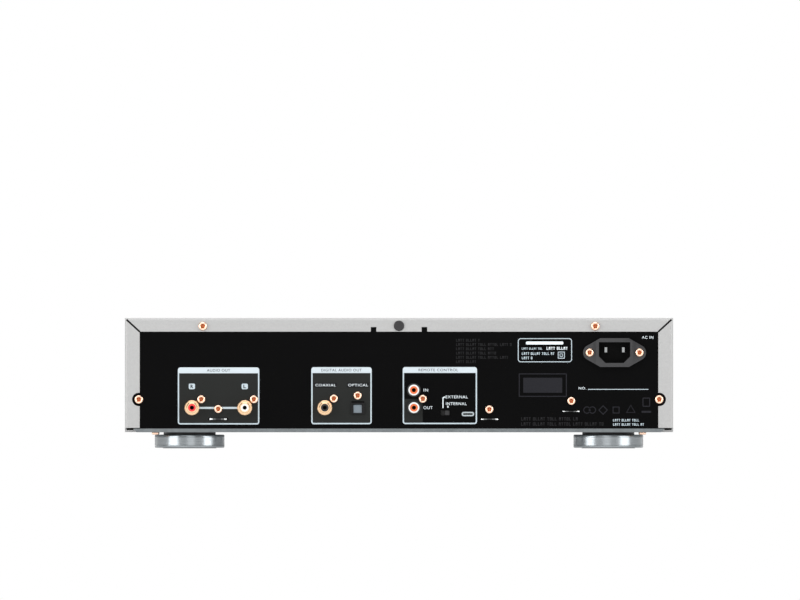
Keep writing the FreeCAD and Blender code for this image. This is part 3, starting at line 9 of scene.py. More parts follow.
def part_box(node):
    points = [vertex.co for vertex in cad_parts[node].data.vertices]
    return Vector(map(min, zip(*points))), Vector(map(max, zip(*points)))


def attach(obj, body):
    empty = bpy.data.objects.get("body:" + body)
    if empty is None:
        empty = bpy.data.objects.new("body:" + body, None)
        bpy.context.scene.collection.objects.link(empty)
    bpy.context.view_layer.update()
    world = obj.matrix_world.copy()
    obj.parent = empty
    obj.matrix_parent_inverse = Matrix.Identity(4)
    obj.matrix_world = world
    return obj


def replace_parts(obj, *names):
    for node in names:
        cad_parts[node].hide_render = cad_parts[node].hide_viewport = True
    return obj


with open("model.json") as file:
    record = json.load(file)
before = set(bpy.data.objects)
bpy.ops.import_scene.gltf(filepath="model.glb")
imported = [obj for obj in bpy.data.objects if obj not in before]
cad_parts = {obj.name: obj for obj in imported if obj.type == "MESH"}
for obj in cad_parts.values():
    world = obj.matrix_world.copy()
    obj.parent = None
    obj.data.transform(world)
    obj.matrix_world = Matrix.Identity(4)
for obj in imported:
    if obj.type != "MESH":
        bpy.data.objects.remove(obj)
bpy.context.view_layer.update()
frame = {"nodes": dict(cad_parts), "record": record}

# Looks of a component CD player, seen from its rear. Everything is in metres in the CAD frame:
# +Z up, the rear panel faces +Y, the front faces -Y.

MM = 0.001
ROOT = "chassis"


# ---------------------------------------------------------------- places from the frame

def middle(node):
    low, high = (Vector(corner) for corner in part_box(node))
    return (low + high) / 2


def islands(node):
    """Boxes of the separate solids of a CAD node, ordered by x, then z."""
    mesh = frame["nodes"][node].data
    spot = [tuple(round(value, 6) for value in vertex.co) for vertex in mesh.vertices]
    parent = {key: key for key in spot}

    def root(key):
        while parent[key] != key:
            parent[key] = parent[parent[key]]
            key = parent[key]
        return key

    for polygon in mesh.polygons:
        first = root(spot[polygon.vertices[0]])
        for index in polygon.vertices[1:]:
            parent[root(spot[index])] = first
    boxes = {}
    for key in parent:
        low, high = boxes.setdefault(root(key), (list(key), list(key)))
        for axis in range(3):
            low[axis] = min(low[axis], key[axis])
            high[axis] = max(high[axis], key[axis])
    found = [(Vector(low), Vector(high)) for low, high in boxes.values()]
    return sorted(found, key=lambda pair: (round(pair[0].x, 4), round(pair[0].z, 4), pair[0].y))


# ---------------------------------------------------------------- finishes

# The part of a noise's range that the tones and the gloss are spread over.
NOISE_LOW, NOISE_HIGH = 0.3, 0.7
FINE_DETAIL, SLOW_DETAIL = 3.0, 4.0
SMOOTHEST = 0.02


def noise(nodes, links, place, scale, detail):
    """A noise over a place, as its value output."""
    made = nodes.new("ShaderNodeTexNoise")
    made.inputs["Scale"].default_value = scale
    made.inputs["Detail"].default_value = detail
    links.new(place, made.inputs["Vector"])
    return made.outputs["Fac"]


def mean(nodes, links, first, second):
    """The mean of two values."""
    half = nodes.new("ShaderNodeMath")
    half.operation = "MULTIPLY"
    half.inputs[1].default_value = 0.5
    links.new(second, half.inputs[0])
    both = nodes.new("ShaderNodeMath")
    both.operation = "MULTIPLY_ADD"
    both.inputs[1].default_value = 0.5
    links.new(first, both.inputs[0])
    links.new(half.outputs["Value"], both.inputs[2])
    return both.outputs["Value"]


def finish(name, colour, rough, metallic=0.0, tone=0.06, grain=900.0, mottle=25.0, spread=0.05,
           bump=0.0, stretch=(1, 1, 1), **sockets):
    """A procedural finish in object space: fine grain, slow mottling, and uneven gloss."""
    made = bpy.data.materials.new(f"finish_{name}")
    made.use_nodes = True
    nodes, links = made.node_tree.nodes, made.node_tree.links
    shader = nodes["Principled BSDF"]
    shader.inputs["Metallic"].default_value = metallic
    for socket, value in sockets.items():
        shader.inputs[socket.replace("_", " ")].default_value = value
    place = nodes.new("ShaderNodeTexCoord").outputs["Object"]
    stretched = nodes.new("ShaderNodeMapping")
    stretched.inputs["Scale"].default_value = stretch
    links.new(place, stretched.inputs["Vector"])
    fine = noise(nodes, links, stretched.outputs["Vector"], grain, FINE_DETAIL)
    slow = noise(nodes, links, place, mottle, SLOW_DETAIL)
    tones = nodes.new("ShaderNodeValToRGB")
    dark, light = tones.color_ramp.elements
    dark.position, light.position = NOISE_LOW, NOISE_HIGH
    dark.color = (*(part * (1 - tone) for part in colour), 1)
    light.color = (*(min(part * (1 + tone), 1.0) for part in colour), 1)
    links.new(mean(nodes, links, fine, slow), tones.inputs["Fac"])
    links.new(tones.outputs["Color"], shader.inputs["Base Color"])
    gloss = nodes.new("ShaderNodeMapRange")
    gloss.inputs["From Min"].default_value = NOISE_LOW
    gloss.inputs["From Max"].default_value = NOISE_HIGH
    gloss.inputs["To Min"].default_value = max(rough - spread, SMOOTHEST)
    gloss.inputs["To Max"].default_value = rough + spread
    links.new(slow, gloss.inputs["Value"])
    links.new(gloss.outputs["Result"], shader.inputs["Roughness"])
    if bump:
        relief = nodes.new("ShaderNodeBump")
        relief.inputs["Distance"].default_value = bump
        links.new(fine, relief.inputs["Height"])
        links.new(relief.outputs["Normal"], shader.inputs["Normal"])
    return made


# How far the grain is drawn out: along x on brushed sheets, round the axis on turned rings.
ALONG_X = (0.02, 1, 1)
TURNED = (0.02, 0.02, 1)

FINISHES = {
    "cover_paint": finish("cover_paint", (0.344, 0.344, 0.342), 0.42, tone=0.07, grain=2600,
                          mottle=700, bump=0.00002),
    "panel_black": finish("panel_black", (0.0012, 0.0012, 0.0013), 0.42, tone=0.2, grain=3000,
                          bump=0.00001, IOR=1.12),
    "zinc_sheet": finish("zinc_sheet", (0.18, 0.197, 0.205), 0.38, 1.0, tone=0.16, grain=300, mottle=60),
    "front_silver": finish("front_silver", (0.56, 0.56, 0.56), 0.33, 1.0, tone=0.05, grain=1500,
                           stretch=ALONG_X, bump=0.00001),
    "foot_metal": finish("foot_metal", (0.33, 0.355, 0.37), 0.22, 1.0, tone=0.12, grain=1400,
                         stretch=TURNED, bump=0.00001),
    "black_plastic": finish("black_plastic", (0.012, 0.012, 0.0125), 0.45, tone=0.15, grain=1800,
                            bump=0.00001),
    "inlet_plastic": finish("inlet_plastic", (0.020, 0.020, 0.0215), 0.34, tone=0.1, grain=1800,
                            bump=0.00001),
    "foot_rubber": finish("foot_rubber", (0.02, 0.02, 0.02), 0.8, tone=0.2, grain=1200, bump=0.00004),
    "copper_screw": finish("copper_screw", (0.98, 0.66, 0.50), 0.2, 1.0, tone=0.08, grain=1200, mottle=200),
    "gold_plate": finish("gold_plate", (0.76, 0.525, 0.325), 0.19, 1.0, tone=0.06, grain=900, mottle=150),
    "red_plastic": finish("red_plastic", (0.72, 0.03, 0.03), 0.3, tone=0.06),
    "white_plastic": finish("white_plastic", (0.8, 0.8, 0.78), 0.3, tone=0.03),
    "orange_plastic": finish("orange_plastic", (0.66, 0.125, 0.022), 0.3, tone=0.06),
    "nickel": finish("nickel", (0.82, 0.82, 0.83), 0.16, 1.0, tone=0.04, mottle=150),
    "smoked_window": finish("smoked_window", (0.012, 0.013, 0.015), 0.06, tone=0.1, spread=0.02),
    "display_glass": finish("display_glass", (0.01, 0.03, 0.03), 0.1, tone=0.1),
    "grey_plastic": finish("grey_plastic", (0.22, 0.23, 0.245), 0.4, tone=0.06, grain=1500),
    "tray_plastic": finish("tray_plastic", (0.03, 0.03, 0.033), 0.42, tone=0.12, grain=1600, bump=0.00001),
    "gear_plastic": finish("gear_plastic", (0.72, 0.71, 0.66), 0.4, tone=0.05),
    "steel": finish("steel", (0.5, 0.51, 0.52), 0.3, 1.0, tone=0.1, mottle=80),
    "belt_rubber": finish("belt_rubber", (0.012, 0.012, 0.012), 0.7, tone=0.2),
    "board_green": finish("board_green", (0.015, 0.10, 0.04), 0.35, tone=0.2, grain=500, mottle=90),
    "component_black": finish("component_black", (0.02, 0.02, 0.022), 0.45, tone=0.2),
    "core_steel": finish("core_steel", (0.09, 0.09, 0.10), 0.5, 0.6, tone=0.3, grain=1800,
                         stretch=ALONG_X, bump=0.00003),
    "coil_tape": finish("coil_tape", (0.62, 0.46, 0.12), 0.45, tone=0.1, grain=600),
    "lens_clear": finish("lens_clear", (0.10, 0.12, 0.30), 0.05, tone=0.2, Coat_Weight=1.0),
}

# Nodes whose finish differs from the rest of their slot.
OWN_FINISH = {
    "hole_plug": finish("plug_grey", (0.013, 0.0115, 0.013), 0.5, tone=0.05, grain=1500),
    "optical_jack": finish("optical_black", (0.004, 0.004, 0.0045), 0.4, tone=0.1, grain=1800, IOR=1.3),
    "optical_shutter": finish("shutter_grey", (0.135, 0.165, 0.19), 0.35, tone=0.06, grain=1500),
    "slide_switch_knob": finish("switch_black", (0.007, 0.007, 0.008), 0.45, tone=0.1, grain=1800),
    "remote_jack_shells": finish("shell_white", (0.66, 0.665, 0.65), 0.3, tone=0.03),
    # The inlet's pins are darker than their nickel: painted shade inside the mouth.
    "inlet_pins": finish("pin_metal_shaded", (0.30, 0.31, 0.31), 0.3, 1.0, tone=0.15, grain=1500),
}

# Near-black used as painted shade: in the socket holes, along the cover's mitred corners, and inside the
# mains inlet's mouth.
SHADE_BLACK = finish("painted_shade_black", (0.0016, 0.0015, 0.0015), 0.5, tone=0.1, grain=1500, IOR=1.2)
# Darker copper for the dish round each screw's cross recess: painted shade.
COPPER_SHADE = finish("copper_painted_shade", (0.46, 0.14, 0.06), 0.3, 1.0, tone=0.1, grain=1200, mottle=200)
# A darker and a brighter copy of one metal for the lanced strips: painted half-shade on their slopes, and a
# painted glint at their ends.
METAL_HALF_SHADE = finish("metal_painted_half_shade", (0.17, 0.175, 0.175), 0.35, 1.0, tone=0.1, grain=1200)
METAL_GLINT = finish("metal_painted_glint", (0.78, 0.80, 0.80), 0.25, 1.0, tone=0.06, grain=1200)


SLOTS = {part["node"]: part["material_slot"] for part in frame["record"]["subparts"]}


def finish_of(node):
    return OWN_FINISH.get(node) or FINISHES[SLOTS[node]]


def dress_frame():
    """Every CAD node that stays in view gets its slot's finish, or its own."""
    for node, piece in frame["nodes"].items():
        for holder in piece.material_slots:
            holder.material = finish_of(node)


# ---------------------------------------------------------------- mesh tools

# Turns from a flat drawing onto the rear, the front and the underside.
REAR = Matrix(((-1, 0, 0, 0), (0, 0, 1, 0), (0, 1, 0, 0), (0, 0, 0, 1)))
FRONT = Matrix(((1, 0, 0, 0), (0, 0, -1, 0), (0, 1, 0, 0), (0, 0, 0, 1)))
DOWN = Matrix(((1, 0, 0, 0), (0, -1, 0, 0), (0, 0, -1, 0), (0, 0, 0, 1)))

SMOOTH_UP_TO = math.radians(35)


def place_in_scene(made):
    bpy.context.scene.collection.objects.link(made)
    return made


def mesh_from(shape, name):
    """The mesh of a finished bmesh."""
    made = bpy.data.meshes.new(name)
    shape.to_mesh(made)
    shape.free()
    return made


def moved(mesh, matrix):
    """The same mesh after a transform."""
    mesh.transform(matrix)
    return mesh


def piece_of(name, meshes, look, body=ROOT, smooth=False, second=None):
    """One visible piece made of several meshes, riding on a body. Faces marked 1 take the second finish."""
    whole = bmesh.new()
    for mesh in meshes:
        whole.from_mesh(mesh)
        bpy.data.meshes.remove(mesh)
    bmesh.ops.recalc_face_normals(whole, faces=whole.faces)
    joined = mesh_from(whole, name)
    for part in (look, second):
        if part:
            joined.materials.append(part)
    made = place_in_scene(bpy.data.objects.new(name, joined))
    if smooth:
        joined.shade_smooth()
        joined.set_sharp_from_angle(angle=SMOOTH_UP_TO)
    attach(made, body)
    return made


def from_curve(curve):
    """The mesh of a curve or a text, which is removed."""
    holder = bpy.data.objects.new("outline", curve)
    made = bpy.data.meshes.new_from_object(holder)
    bpy.data.objects.remove(holder)
    bpy.data.curves.remove(curve)
    return made


def plate(loops, y, half_thick, facing=REAR):
    """A flat solid about an upright plane. Outlines are in x and z; an outline inside another is a hole."""
    curve = bpy.data.curves.new("plate", "CURVE")
    curve.dimensions = "2D"
    curve.fill_mode = "BOTH"
    curve.extrude = half_thick
    side = -1 if facing is REAR else 1
    for loop in loops:
        line = curve.splines.new("POLY")
        line.points.add(len(loop) - 1)
        for point, (x, z) in zip(line.points, loop):
            point.co = (side * x, z, 0, 1)
        line.use_cyclic_u = True
    return moved(from_curve(curve), Matrix.Translation((0, y, 0)) @ facing)


LETTER_SPACING = 1.12
LETTER_THICK = 0.08 * MM


def lettering(text, x, z, wide, high, y, facing=REAR, bold=0.0):
    """Raised letters stretched to a width and a height, centred at x and z."""
    font = bpy.data.curves.new("lettering", "FONT")
    font.body = text
    font.space_character = LETTER_SPACING
    font.offset = bold
    font.extrude = 0.5
    made = from_curve(font)
    across = [vertex.co.x for vertex in made.vertices]
    upward = [vertex.co.y for vertex in made.vertices]
    left, right, bottom, top = min(across), max(across), min(upward), max(upward)
    fit = Matrix.Diagonal((wide / (right - left), high / (top - bottom), LETTER_THICK, 1))
    return moved(made, Matrix.Translation((x, y, z)) @ facing @ fit
                 @ Matrix.Translation((-(left + right) / 2, -(bottom + top) / 2, 0)))


def rounded(x_low, x_high, z_low, z_high, radius, steps=6):
    """A rectangle with round corners."""
    points = []
    corners = ((x_high, z_high, 0), (x_low, z_high, 1), (x_low, z_low, 2), (x_high, z_low, 3))
    for x, z, quarter in corners:
        centre_x = x - radius if x == x_high else x + radius
        centre_z = z - radius if z == z_high else z + radius
        for step in range(steps + 1):
            angle = math.pi / 2 * (quarter + step / steps)
            points.append((centre_x + radius * math.cos(angle), centre_z + radius * math.sin(angle)))
    return points


def pad(x, z, wide, high, radius):
    """A rectangle with round corners round a centre, with its sizes in millimetres."""
    return rounded(x - wide / 2 * MM, x + wide / 2 * MM, z - high / 2 * MM, z + high / 2 * MM, radius * MM)


def circle(x, z, radius, steps=40):
    turns = [2 * math.pi * step / steps for step in range(steps)]
    return [(x + radius * math.cos(turn), z + radius * math.sin(turn)) for turn in turns]


def frame_line(x_low, x_high, z_low, z_high, radius, wide):
    """The two outlines of a line drawn round a box."""
    return [rounded(x_low, x_high, z_low, z_high, radius),
            rounded(x_low + wide, x_high - wide, z_low + wide, z_high - wide, max(radius - wide, wide / 4))]


def turned(profile, steps, closed=True):
    """A solid of revolution about local z from (radius, height) points."""
    shape = bmesh.new()
    turns = [2 * math.pi * step / steps for step in range(steps)]
    rings = []
    for radius, height in profile:
        spots = [(radius * math.cos(turn), radius * math.sin(turn), height) for turn in turns]
        rings.append([shape.verts.new(spot) for spot in (spots if radius else [(0, 0, height)])])
    pairs = list(zip(rings, rings[1:]))
    if closed:
        pairs.append((rings[-1], rings[0]))
    for first, second in pairs:
        for step in range(steps):
            after = (step + 1) % steps
            corners = [first[step % len(first)], first[after % len(first)],
                       second[after % len(second)], second[step % len(second)]]
            corners = list(dict.fromkeys(corners))
            if len(corners) > 2:
                shape.faces.new(corners)
    bmesh.ops.recalc_face_normals(shape, faces=shape.faces)
    return mesh_from(shape, "turned")


# ---------------------------------------------------------------- screws

HEAD_HIGH = 1.9 * MM
RECESS = 1.6 * MM
THREAD = 0.5 * MM

# The head's crown from its middle to its rim: distance out over the radius, and rise over the height.
CROWN = ((0, -0.34), (0.40, -0.30), (0.50, -0.24), (0.57, -0.12), (0.64, -0.04), (0.72, 0),
         (0.80, -0.03), (0.88, -0.12), (0.95, -0.28), (0.99, -0.48), (1, -0.66))
# The part of the head's radius whose faces take the darker copper, as painted shade in the recess.
SHADED_DISH = 0.56
SHANK = 0.43
SCREW_SPIN = 2.4


def recess_cutter(radius):
    """Two crossed wings that taper as they go down, round a small cone."""
    shape = bmesh.new()
    top, bottom = 0.3 * MM, -RECESS
    for quarter in (0, 1):
        long_top, long_low = radius * 0.60, radius * 0.26
        wide_top, wide_low = radius * 0.17, radius * 0.10
        rings = []
        for height, long, wide in ((top, long_top, wide_top), (bottom, long_low, wide_low)):
            corners = ((-long, -wide), (long, -wide), (long, wide), (-long, wide))
            if quarter:
                corners = tuple((-y, x) for x, y in corners)
            rings.append([shape.verts.new((x, y, height)) for x, y in corners])
        shape.faces.new(rings[0])
        shape.faces.new(list(reversed(rings[1])))
        for step in range(4):
            after = (step + 1) % 4
            shape.faces.new((rings[0][after], rings[0][step], rings[1][step], rings[1][after]))
    return mesh_from(shape, "recess")


def carved(body, tool):
    """A mesh with another cut out of it."""
    holder = place_in_scene(bpy.data.objects.new("carved", body))
    cutter = place_in_scene(bpy.data.objects.new("cutter", tool))
    step = holder.modifiers.new("cut", "BOOLEAN")
    step.object = cutter
    step.operation = "DIFFERENCE"
    step.solver = "EXACT"
    step.use_self = True
    made = bpy.data.meshes.new_from_object(holder.evaluated_get(bpy.context.evaluated_depsgraph_get()))
    for item, mesh in ((holder, body), (cutter, tool)):
        bpy.data.objects.remove(item)
        bpy.data.meshes.remove(mesh)
    return made


def screw_mesh(radius, length):
    """A pan head with a cross recess on a threaded shank. The head's crown is at local z = 0. Faces of the
    dish round the recess take the second finish, a darker copper that is painted shade.
    """
    profile = [(radius * out, HEAD_HIGH * rise) for out, rise in CROWN]
    profile += [(radius, -HEAD_HIGH * 0.92), (radius * 0.97, -HEAD_HIGH)]
    shank = radius * SHANK
    profile.append((shank, -HEAD_HIGH))
    for turn in range(int((length - HEAD_HIGH) / THREAD)):
        start = -HEAD_HIGH - turn * THREAD
        profile += [(shank * 0.86, start - THREAD * 0.3), (shank, start - THREAD * 0.8)]
    profile += [(shank * 0.7, -length), (0, -length)]
    made = carved(turned(profile, 40, closed=False), recess_cutter(radius))
    # Faces in the dish round the recess take the darker copper: painted shade.
    for face in made.polygons:
        in_shade = math.hypot(face.center.x, face.center.y) < radius * SHADED_DISH
        face.material_index = int(in_shade and face.center.z > -RECESS - 0.1 * MM)
    return made


def make_screws():
    """A detailed screw in place of each plain one of the frame."""
    for node in ("rear_screws", "cover_screws", "inlet_screws", "bottom_screws"):
        below = node == "bottom_screws"
        meshes = []
        for number, (low, high) in enumerate(islands(node)):
            radius = (high.x - low.x) / 2
            spin = Matrix.Rotation(number * SCREW_SPIN, 4, "Z")
            if below:
                at = Vector(((low.x + high.x) / 2, (low.y + high.y) / 2, low.z))
                turn, length = DOWN, high.z - low.z
            else:
                at = Vector(((low.x + high.x) / 2, high.y, (low.z + high.z) / 2))
                turn, length = REAR, high.y - low.y
            meshes.append(moved(screw_mesh(radius, length), Matrix.Translation(at) @ turn @ spin))
        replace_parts(piece_of(f"{node}_detailed", meshes, FINISHES["copper_screw"], smooth=True,
                             second=COPPER_SHADE), node)


# ---------------------------------------------------------------- printing on the rear panel

PANEL_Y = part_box("rear_panel")[1][1]
LAYER = 0.05 * MM

INKS = {
    "ink_white": finish("ink_white", (0.66, 0.72, 0.75), 0.55, tone=0.04, grain=2500, IOR=1.2),
    "ink_line": finish("ink_line", (0.42, 0.49, 0.53), 0.55, tone=0.04, grain=2500, IOR=1.2),
    "ink_head": finish("ink_head", (0.48, 0.54, 0.575), 0.55, tone=0.03, grain=2500, IOR=1.2),
    "ink_grey": finish("ink_grey", (0.0135, 0.0145, 0.0138), 0.55, tone=0.12, grain=2500, IOR=1.2),
    "ink_slate": finish("ink_slate", (0.0125, 0.0125, 0.0157), 0.55, tone=0.08, grain=2500, IOR=1.2),
    "ink_dark": finish("ink_dark", (0.006, 0.006, 0.007), 0.55, tone=0.08, grain=2500, IOR=1.2),
    "ink_soft": finish("ink_soft", (0.34, 0.38, 0.40), 0.55, tone=0.04, grain=2500, IOR=1.2),
    "ink_faint": finish("ink_faint", (0.0125, 0.0125, 0.0135), 0.55, tone=0.08, grain=2500, IOR=1.2),
}

prints = {name: [] for name in INKS}


def mark(ink, loops, layer=1):
    """Outlines printed in an ink. A higher layer lies over a lower one."""
    prints[ink].append(plate(loops, PANEL_Y + LAYER * (layer - 0.5), LAYER * 0.6))


def word(ink, text, x, z, wide, high=2.0 * MM, layer=1, bold=0.0):
    """A word printed in an ink, centred at x and z."""
    prints[ink].append(lettering(text, x, z, wide, high, PANEL_Y + LAYER * (layer - 0.5), bold=bold))


def bar(ink, x_from, x_to, z, high):
    """A bar with rounded ends from one x down to a lower one."""
    mark(ink, [rounded(x_to, x_from, z - high / 2, z + high / 2, high / 3, 3)])


def glyph(kind, x, z, wide, high):
    """The outlines of one small letter-like block whose left edge, as read, is at x."""
    left, right, low, top = x, x - wide, z - high / 2, z + high / 2
    stroke = high * 0.2
    if kind == 0:
        return [[(left, low), (right, low), (right, low + stroke), (left - stroke, low + stroke),
                 (left - stroke, top), (left, top)]]
    if kind == 1:
        inner = [(left - stroke, low + stroke), (right + stroke, low + stroke),
                 (right + stroke, top - stroke), (left - stroke, top - stroke)]
        return [[(left, low), (right, low), (right, top), (left, top)], inner]
    if kind == 2:
        mid = (left + right) / 2
        return [[(left, top), (right, top), (right, top - stroke), (mid - stroke / 2, top - stroke),
                 (mid - stroke / 2, low), (mid + stroke / 2, low), (mid + stroke / 2, top - stroke),
                 (left, top - stroke)]]
    return [[(left, low), (left - stroke, low), (left - stroke, z), (right + stroke, z),
             (right + stroke, low), (right, low), (right, top), (left, top)]]


def small_print(ink, x_from, length, z, high):
    """A line of small print as letter-like blocks in word groups, running towards -x."""
    loops = []
    x = x_from
    number = 0
    wide, gap, word_gap = high * 0.58, high * 0.2, high * 0.5
    while x - wide > x_from - length:
        loops += glyph((number * 7 + number // 3) % 4, x, z, wide, high)
        x -= wide + gap
        number += 1
        if number % 9 in (4, 0):
            x -= word_gap
    mark(ink, loops)


BOX_RADIUS = 2.1 * MM
LINE = 1.05 * MM
HEADER = 4.7 * MM
TITLE_HIGH = 2.1 * MM
BARREL_HOLE = 4.4 * MM


def socket_box(title, x_low, x_high, z_low, z_high, title_wide, title_x=None, grey=None):
    """A framed group of sockets with a light title bar and, where given, a grey ground with holes."""
    mark("ink_line", frame_line(x_low, x_high, z_low, z_high, BOX_RADIUS, LINE), 2)
    head = [point for point in rounded(x_low, x_high, z_low, z_high, BOX_RADIUS)
            if point[1] > z_high - HEADER]
    head += [(x_low, z_high - HEADER), (x_high, z_high - HEADER)]
    mark("ink_head", [head], 3)
    word("ink_dark", title, title_x or (x_low + x_high) / 2, z_high - HEADER / 2, title_wide, TITLE_HIGH, 4)
    if grey:
        ground = rounded(x_low + LINE / 2, x_high - LINE / 2, z_low + LINE / 2, z_high - HEADER / 2,
                         BOX_RADIUS - LINE / 2)
        mark("ink_grey", [ground] + grey)


def print_analogue(z_low, z_high):
    """The box of the analogue sockets, the line that joins them, and their two channel letters."""
    right, left = middle("output_insert_red"), middle("output_insert_white")
    base, letter_z = right.z, right.z + 17.05 * MM
    holes = [circle(socket.x, base, BARREL_HOLE) for socket in (right, left)]
    holes.append(pad((right.x + left.x) / 2, base - 9.2 * MM, 16.4, 1.8, 0.8))
    socket_box("AUDIO OUT", left.x - 11.7 * MM, right.x + 11.3 * MM, z_low, z_high, 18.6 * MM, grey=holes)
    mark("ink_line", [rounded(left.x + 5.8 * MM, right.x - 5.8 * MM, base - 1.0 * MM, base + 0.6 * MM,
                              0.2 * MM)], 2)
    for letter, x in (("R", right.x), ("L", left.x)):
        mark("ink_line", [pad(x, letter_z, 5.0, 4.5, 1.1)], 2)
        word("ink_dark", letter, x, letter_z, 2.2 * MM, 2.8 * MM, 3, bold=0.03)


def print_digital(z_low, z_high):
    """The box of the coaxial and optical sockets, with a dark ground under each word."""
    coax, optical = middle("coax_insert"), middle("optical_jack")
    holes = [circle(coax.x, coax.z, BARREL_HOLE), pad(optical.x, optical.z, 10.4, 8.4, 0.3)]
    socket_box("DIGITAL AUDIO OUT", coax.x - 37.7 * MM, coax.x + 10.8 * MM, z_low, z_high, 32.4 * MM,
               grey=holes)
    word_z = coax.z + 18.1 * MM
    for text, across, wide in (("COAXIAL", 0.7, 18.0), ("OPTICAL", 26.8, 17.6)):
        x = coax.x - across * MM
        mark("ink_dark", [pad(x, word_z, wide, 3.8, 0.3)], 2)
        word("ink_white", text, x, word_z, (wide - 1.6) * MM, layer=3)


def print_remote(z_low, z_high):
    """The box of the remote-control sockets, the switch and the service port."""
    centres = [(low + high) / 2 for low, high in islands("remote_jack_inserts")]
    out_z, in_z = sorted(centre.z for centre in centres)
    x = centres[0].x
    x_high = x + 9.0 * MM
    x_low = x_high - 59.6 * MM
    socket_box("REMOTE CONTROL", x_low, x_high, z_low, z_high, 31.7 * MM, title_x=x_high - 28.6 * MM)
    mark("ink_grey", [rounded(x - 7.0 * MM, x_high - LINE / 2, z_low + 0.5 * MM, in_z - 7.1 * MM, 0.3 * MM),
                      circle(x, out_z, 5.6 * MM)])
    for text, across, z, wide, high in (
            ("IN", 9.5, in_z, 3.6, 2.3), ("OUT", 11.3, out_z, 7.4, 2.3),
            ("EXTERNAL", 34.3, in_z - 5.5 * MM, 17.6, 2.2), ("INTERNAL", 34.0, in_z - 10.9 * MM, 16.6, 2.2)):
        word("ink_white", text, x - across * MM, z, wide * MM, high * MM)
    print_switch_marks(middle("slide_switch").x, out_z, in_z - 6.0 * MM)
    port_x, port_z = x_low + 7.3 * MM, out_z - 5.1 * MM
    mark("ink_soft", [pad(port_x, port_z, 10.0, 3.5, 1.7), pad(port_x, port_z, 7.8, 1.4, 0.65)], 2)


def print_switch_marks(x, low, bend):
    """A stem that bends towards the upper word, and a short dash under the lower one."""
    stem, foot, end = x + 1.4 * MM, low - 0.3 * MM, x - 0.2 * MM
    mark("ink_white", [[(stem, foot), (stem + 0.8 * MM, foot), (stem + 0.8 * MM, bend),
                        (stem - 0.6 * MM, bend + 0.8 * MM), (end, bend + 0.8 * MM), (end, bend),
                        (stem - 0.9 * MM, bend), (stem, bend - 0.6 * MM)]])
    bar("ink_white", x - 1.7 * MM, x - 2.6 * MM, low + 0.7 * MM, 2.0 * MM)


# Rows on the rating plate: ink, distance from its left edge, length, drop from its top, letter height (mm).
RATING_ROWS = (("ink_line", 3.2, 17, 8.3, 1.6), ("ink_white", 23.0, 18, 8.1, 2.3),
               ("ink_line", 3.2, 27, 12.3, 2.0), ("ink_line", 3.2, 9, 15.8, 2.0))


def print_rating(inlet):
    """The framed rating plate beside the mains inlet, with plain bars and blocks for its words."""
    top = inlet.z + 11.5 * MM
    left, right = inlet.x + 77.6 * MM, inlet.x + 34.2 * MM
    mark("ink_line", frame_line(right, left, top - 19.2 * MM, top, 2.4 * MM, 0.6 * MM))
    bar("ink_white", left - 6.5 * MM, left - 36.5 * MM, top - 3.8 * MM, 2.4 * MM)
    for ink, inset, length, drop, high in RATING_ROWS:
        small_print(ink, left - inset * MM, length * MM, top - drop * MM, high * MM)
    x, z = right + 8.55 * MM, top - 13.55 * MM
    for half, line in ((2.75 * MM, 0.5 * MM), (1.25 * MM, 0.4 * MM)):
        mark("ink_line", frame_line(x - half, x + half, z - half, z + half, 0.3 * MM, line))


# Rows round the mains inlet: ink, start, length, rise and letter height, in mm.
# Start and rise are counted from the inlet's centre.
NOTE_ROWS = [("ink_faint", 127.2, length, 9.9 - 3.44 * line, 2.2)
             for line, length in enumerate((20, 46, 31, 33, 42, 18))]
NOTE_ROWS += [("ink_faint", 74.9, 46, -53.2, 2.6), ("ink_faint", 75.0, 67, -57.3, 2.6),
              ("ink_line", 1.2, 21, -54.3, 1.9), ("ink_line", 1.2, 26, -57.7, 1.9)]


def print_notes(inlet):
    """The mains word, the label ground, the number line and the rows of small print."""
    x, z = inlet.x, inlet.z
    word("ink_white", "AC IN", x - 26.5 * MM, z + 12.2 * MM, 9.1 * MM, 2.2 * MM)
    mark("ink_slate", frame_line(x + 38.3 * MM, x + 76.9 * MM, z - 35.5 * MM, z - 16.7 * MM,
                                 0.6 * MM, 0.8 * MM))
    mark("ink_slate", [pad(x + 57.65 * MM, z - 26.2 * MM, 31.3, 12.0, 0.3)])
    word("ink_white", "NO.", x + 25.8 * MM, z - 28.6 * MM, 6.0 * MM)
    bar("ink_line", x + 21.5 * MM, x - 27.1 * MM, z - 29.5 * MM, 0.5 * MM)
    for ink, start, length, rise, high in NOTE_ROWS:
        small_print(ink, x + start * MM, length * MM, z + rise * MM, high * MM)


def print_shapes(x, z):
    """A row of plain shapes: two rings, a diamond, a square and a triangle, then a box over a bar."""
    for across in (22.2 * MM, 17.8 * MM):
        mark("ink_slate", [circle(x + across, z, 2.9 * MM), circle(x + across, z, 2.2 * MM)])
    for across, sides, spin, reach in ((9.2, 4, 0.0, 3.9), (-1.2, 4, 45.0, 3.9), (-13.0, 3, 90.0, 4.4)):
        angles = [math.radians(spin + 360 * step / sides) for step in range(sides)]
        mark("ink_slate", [[(x + (across + size * math.cos(angle)) * MM, z + size * math.sin(angle) * MM)
                            for angle in angles] for size in (reach, reach - 1.0)])
    low = z + 2.6 * MM
    mark("ink_slate", frame_line(x - 28.6 * MM, x - 22.4 * MM, low, low + 7.4 * MM, 0.9 * MM, 0.8 * MM))
    bar("ink_slate", x - 21.6 * MM, x - 29.4 * MM, z - 1.4 * MM, 1.6 * MM)


def make_prints():
    base, inlet = middle("output_insert_red").z, middle("mains_inlet")
    low, high = base - 13.5 * MM, base + 32.3 * MM
    print_analogue(low, high)
    print_digital(low + 0.2 * MM, high + 0.2 * MM)
    print_remote(low + 0.3 * MM, high + 0.3 * MM)
    print_rating(inlet)
    print_notes(inlet)
    print_shapes(inlet.x, inlet.z - 46.1 * MM)
    for ink, meshes in prints.items():
        piece_of(f"print_{ink[4:]}", meshes, INKS[ink])


# ---------------------------------------------------------------- sockets and rear details

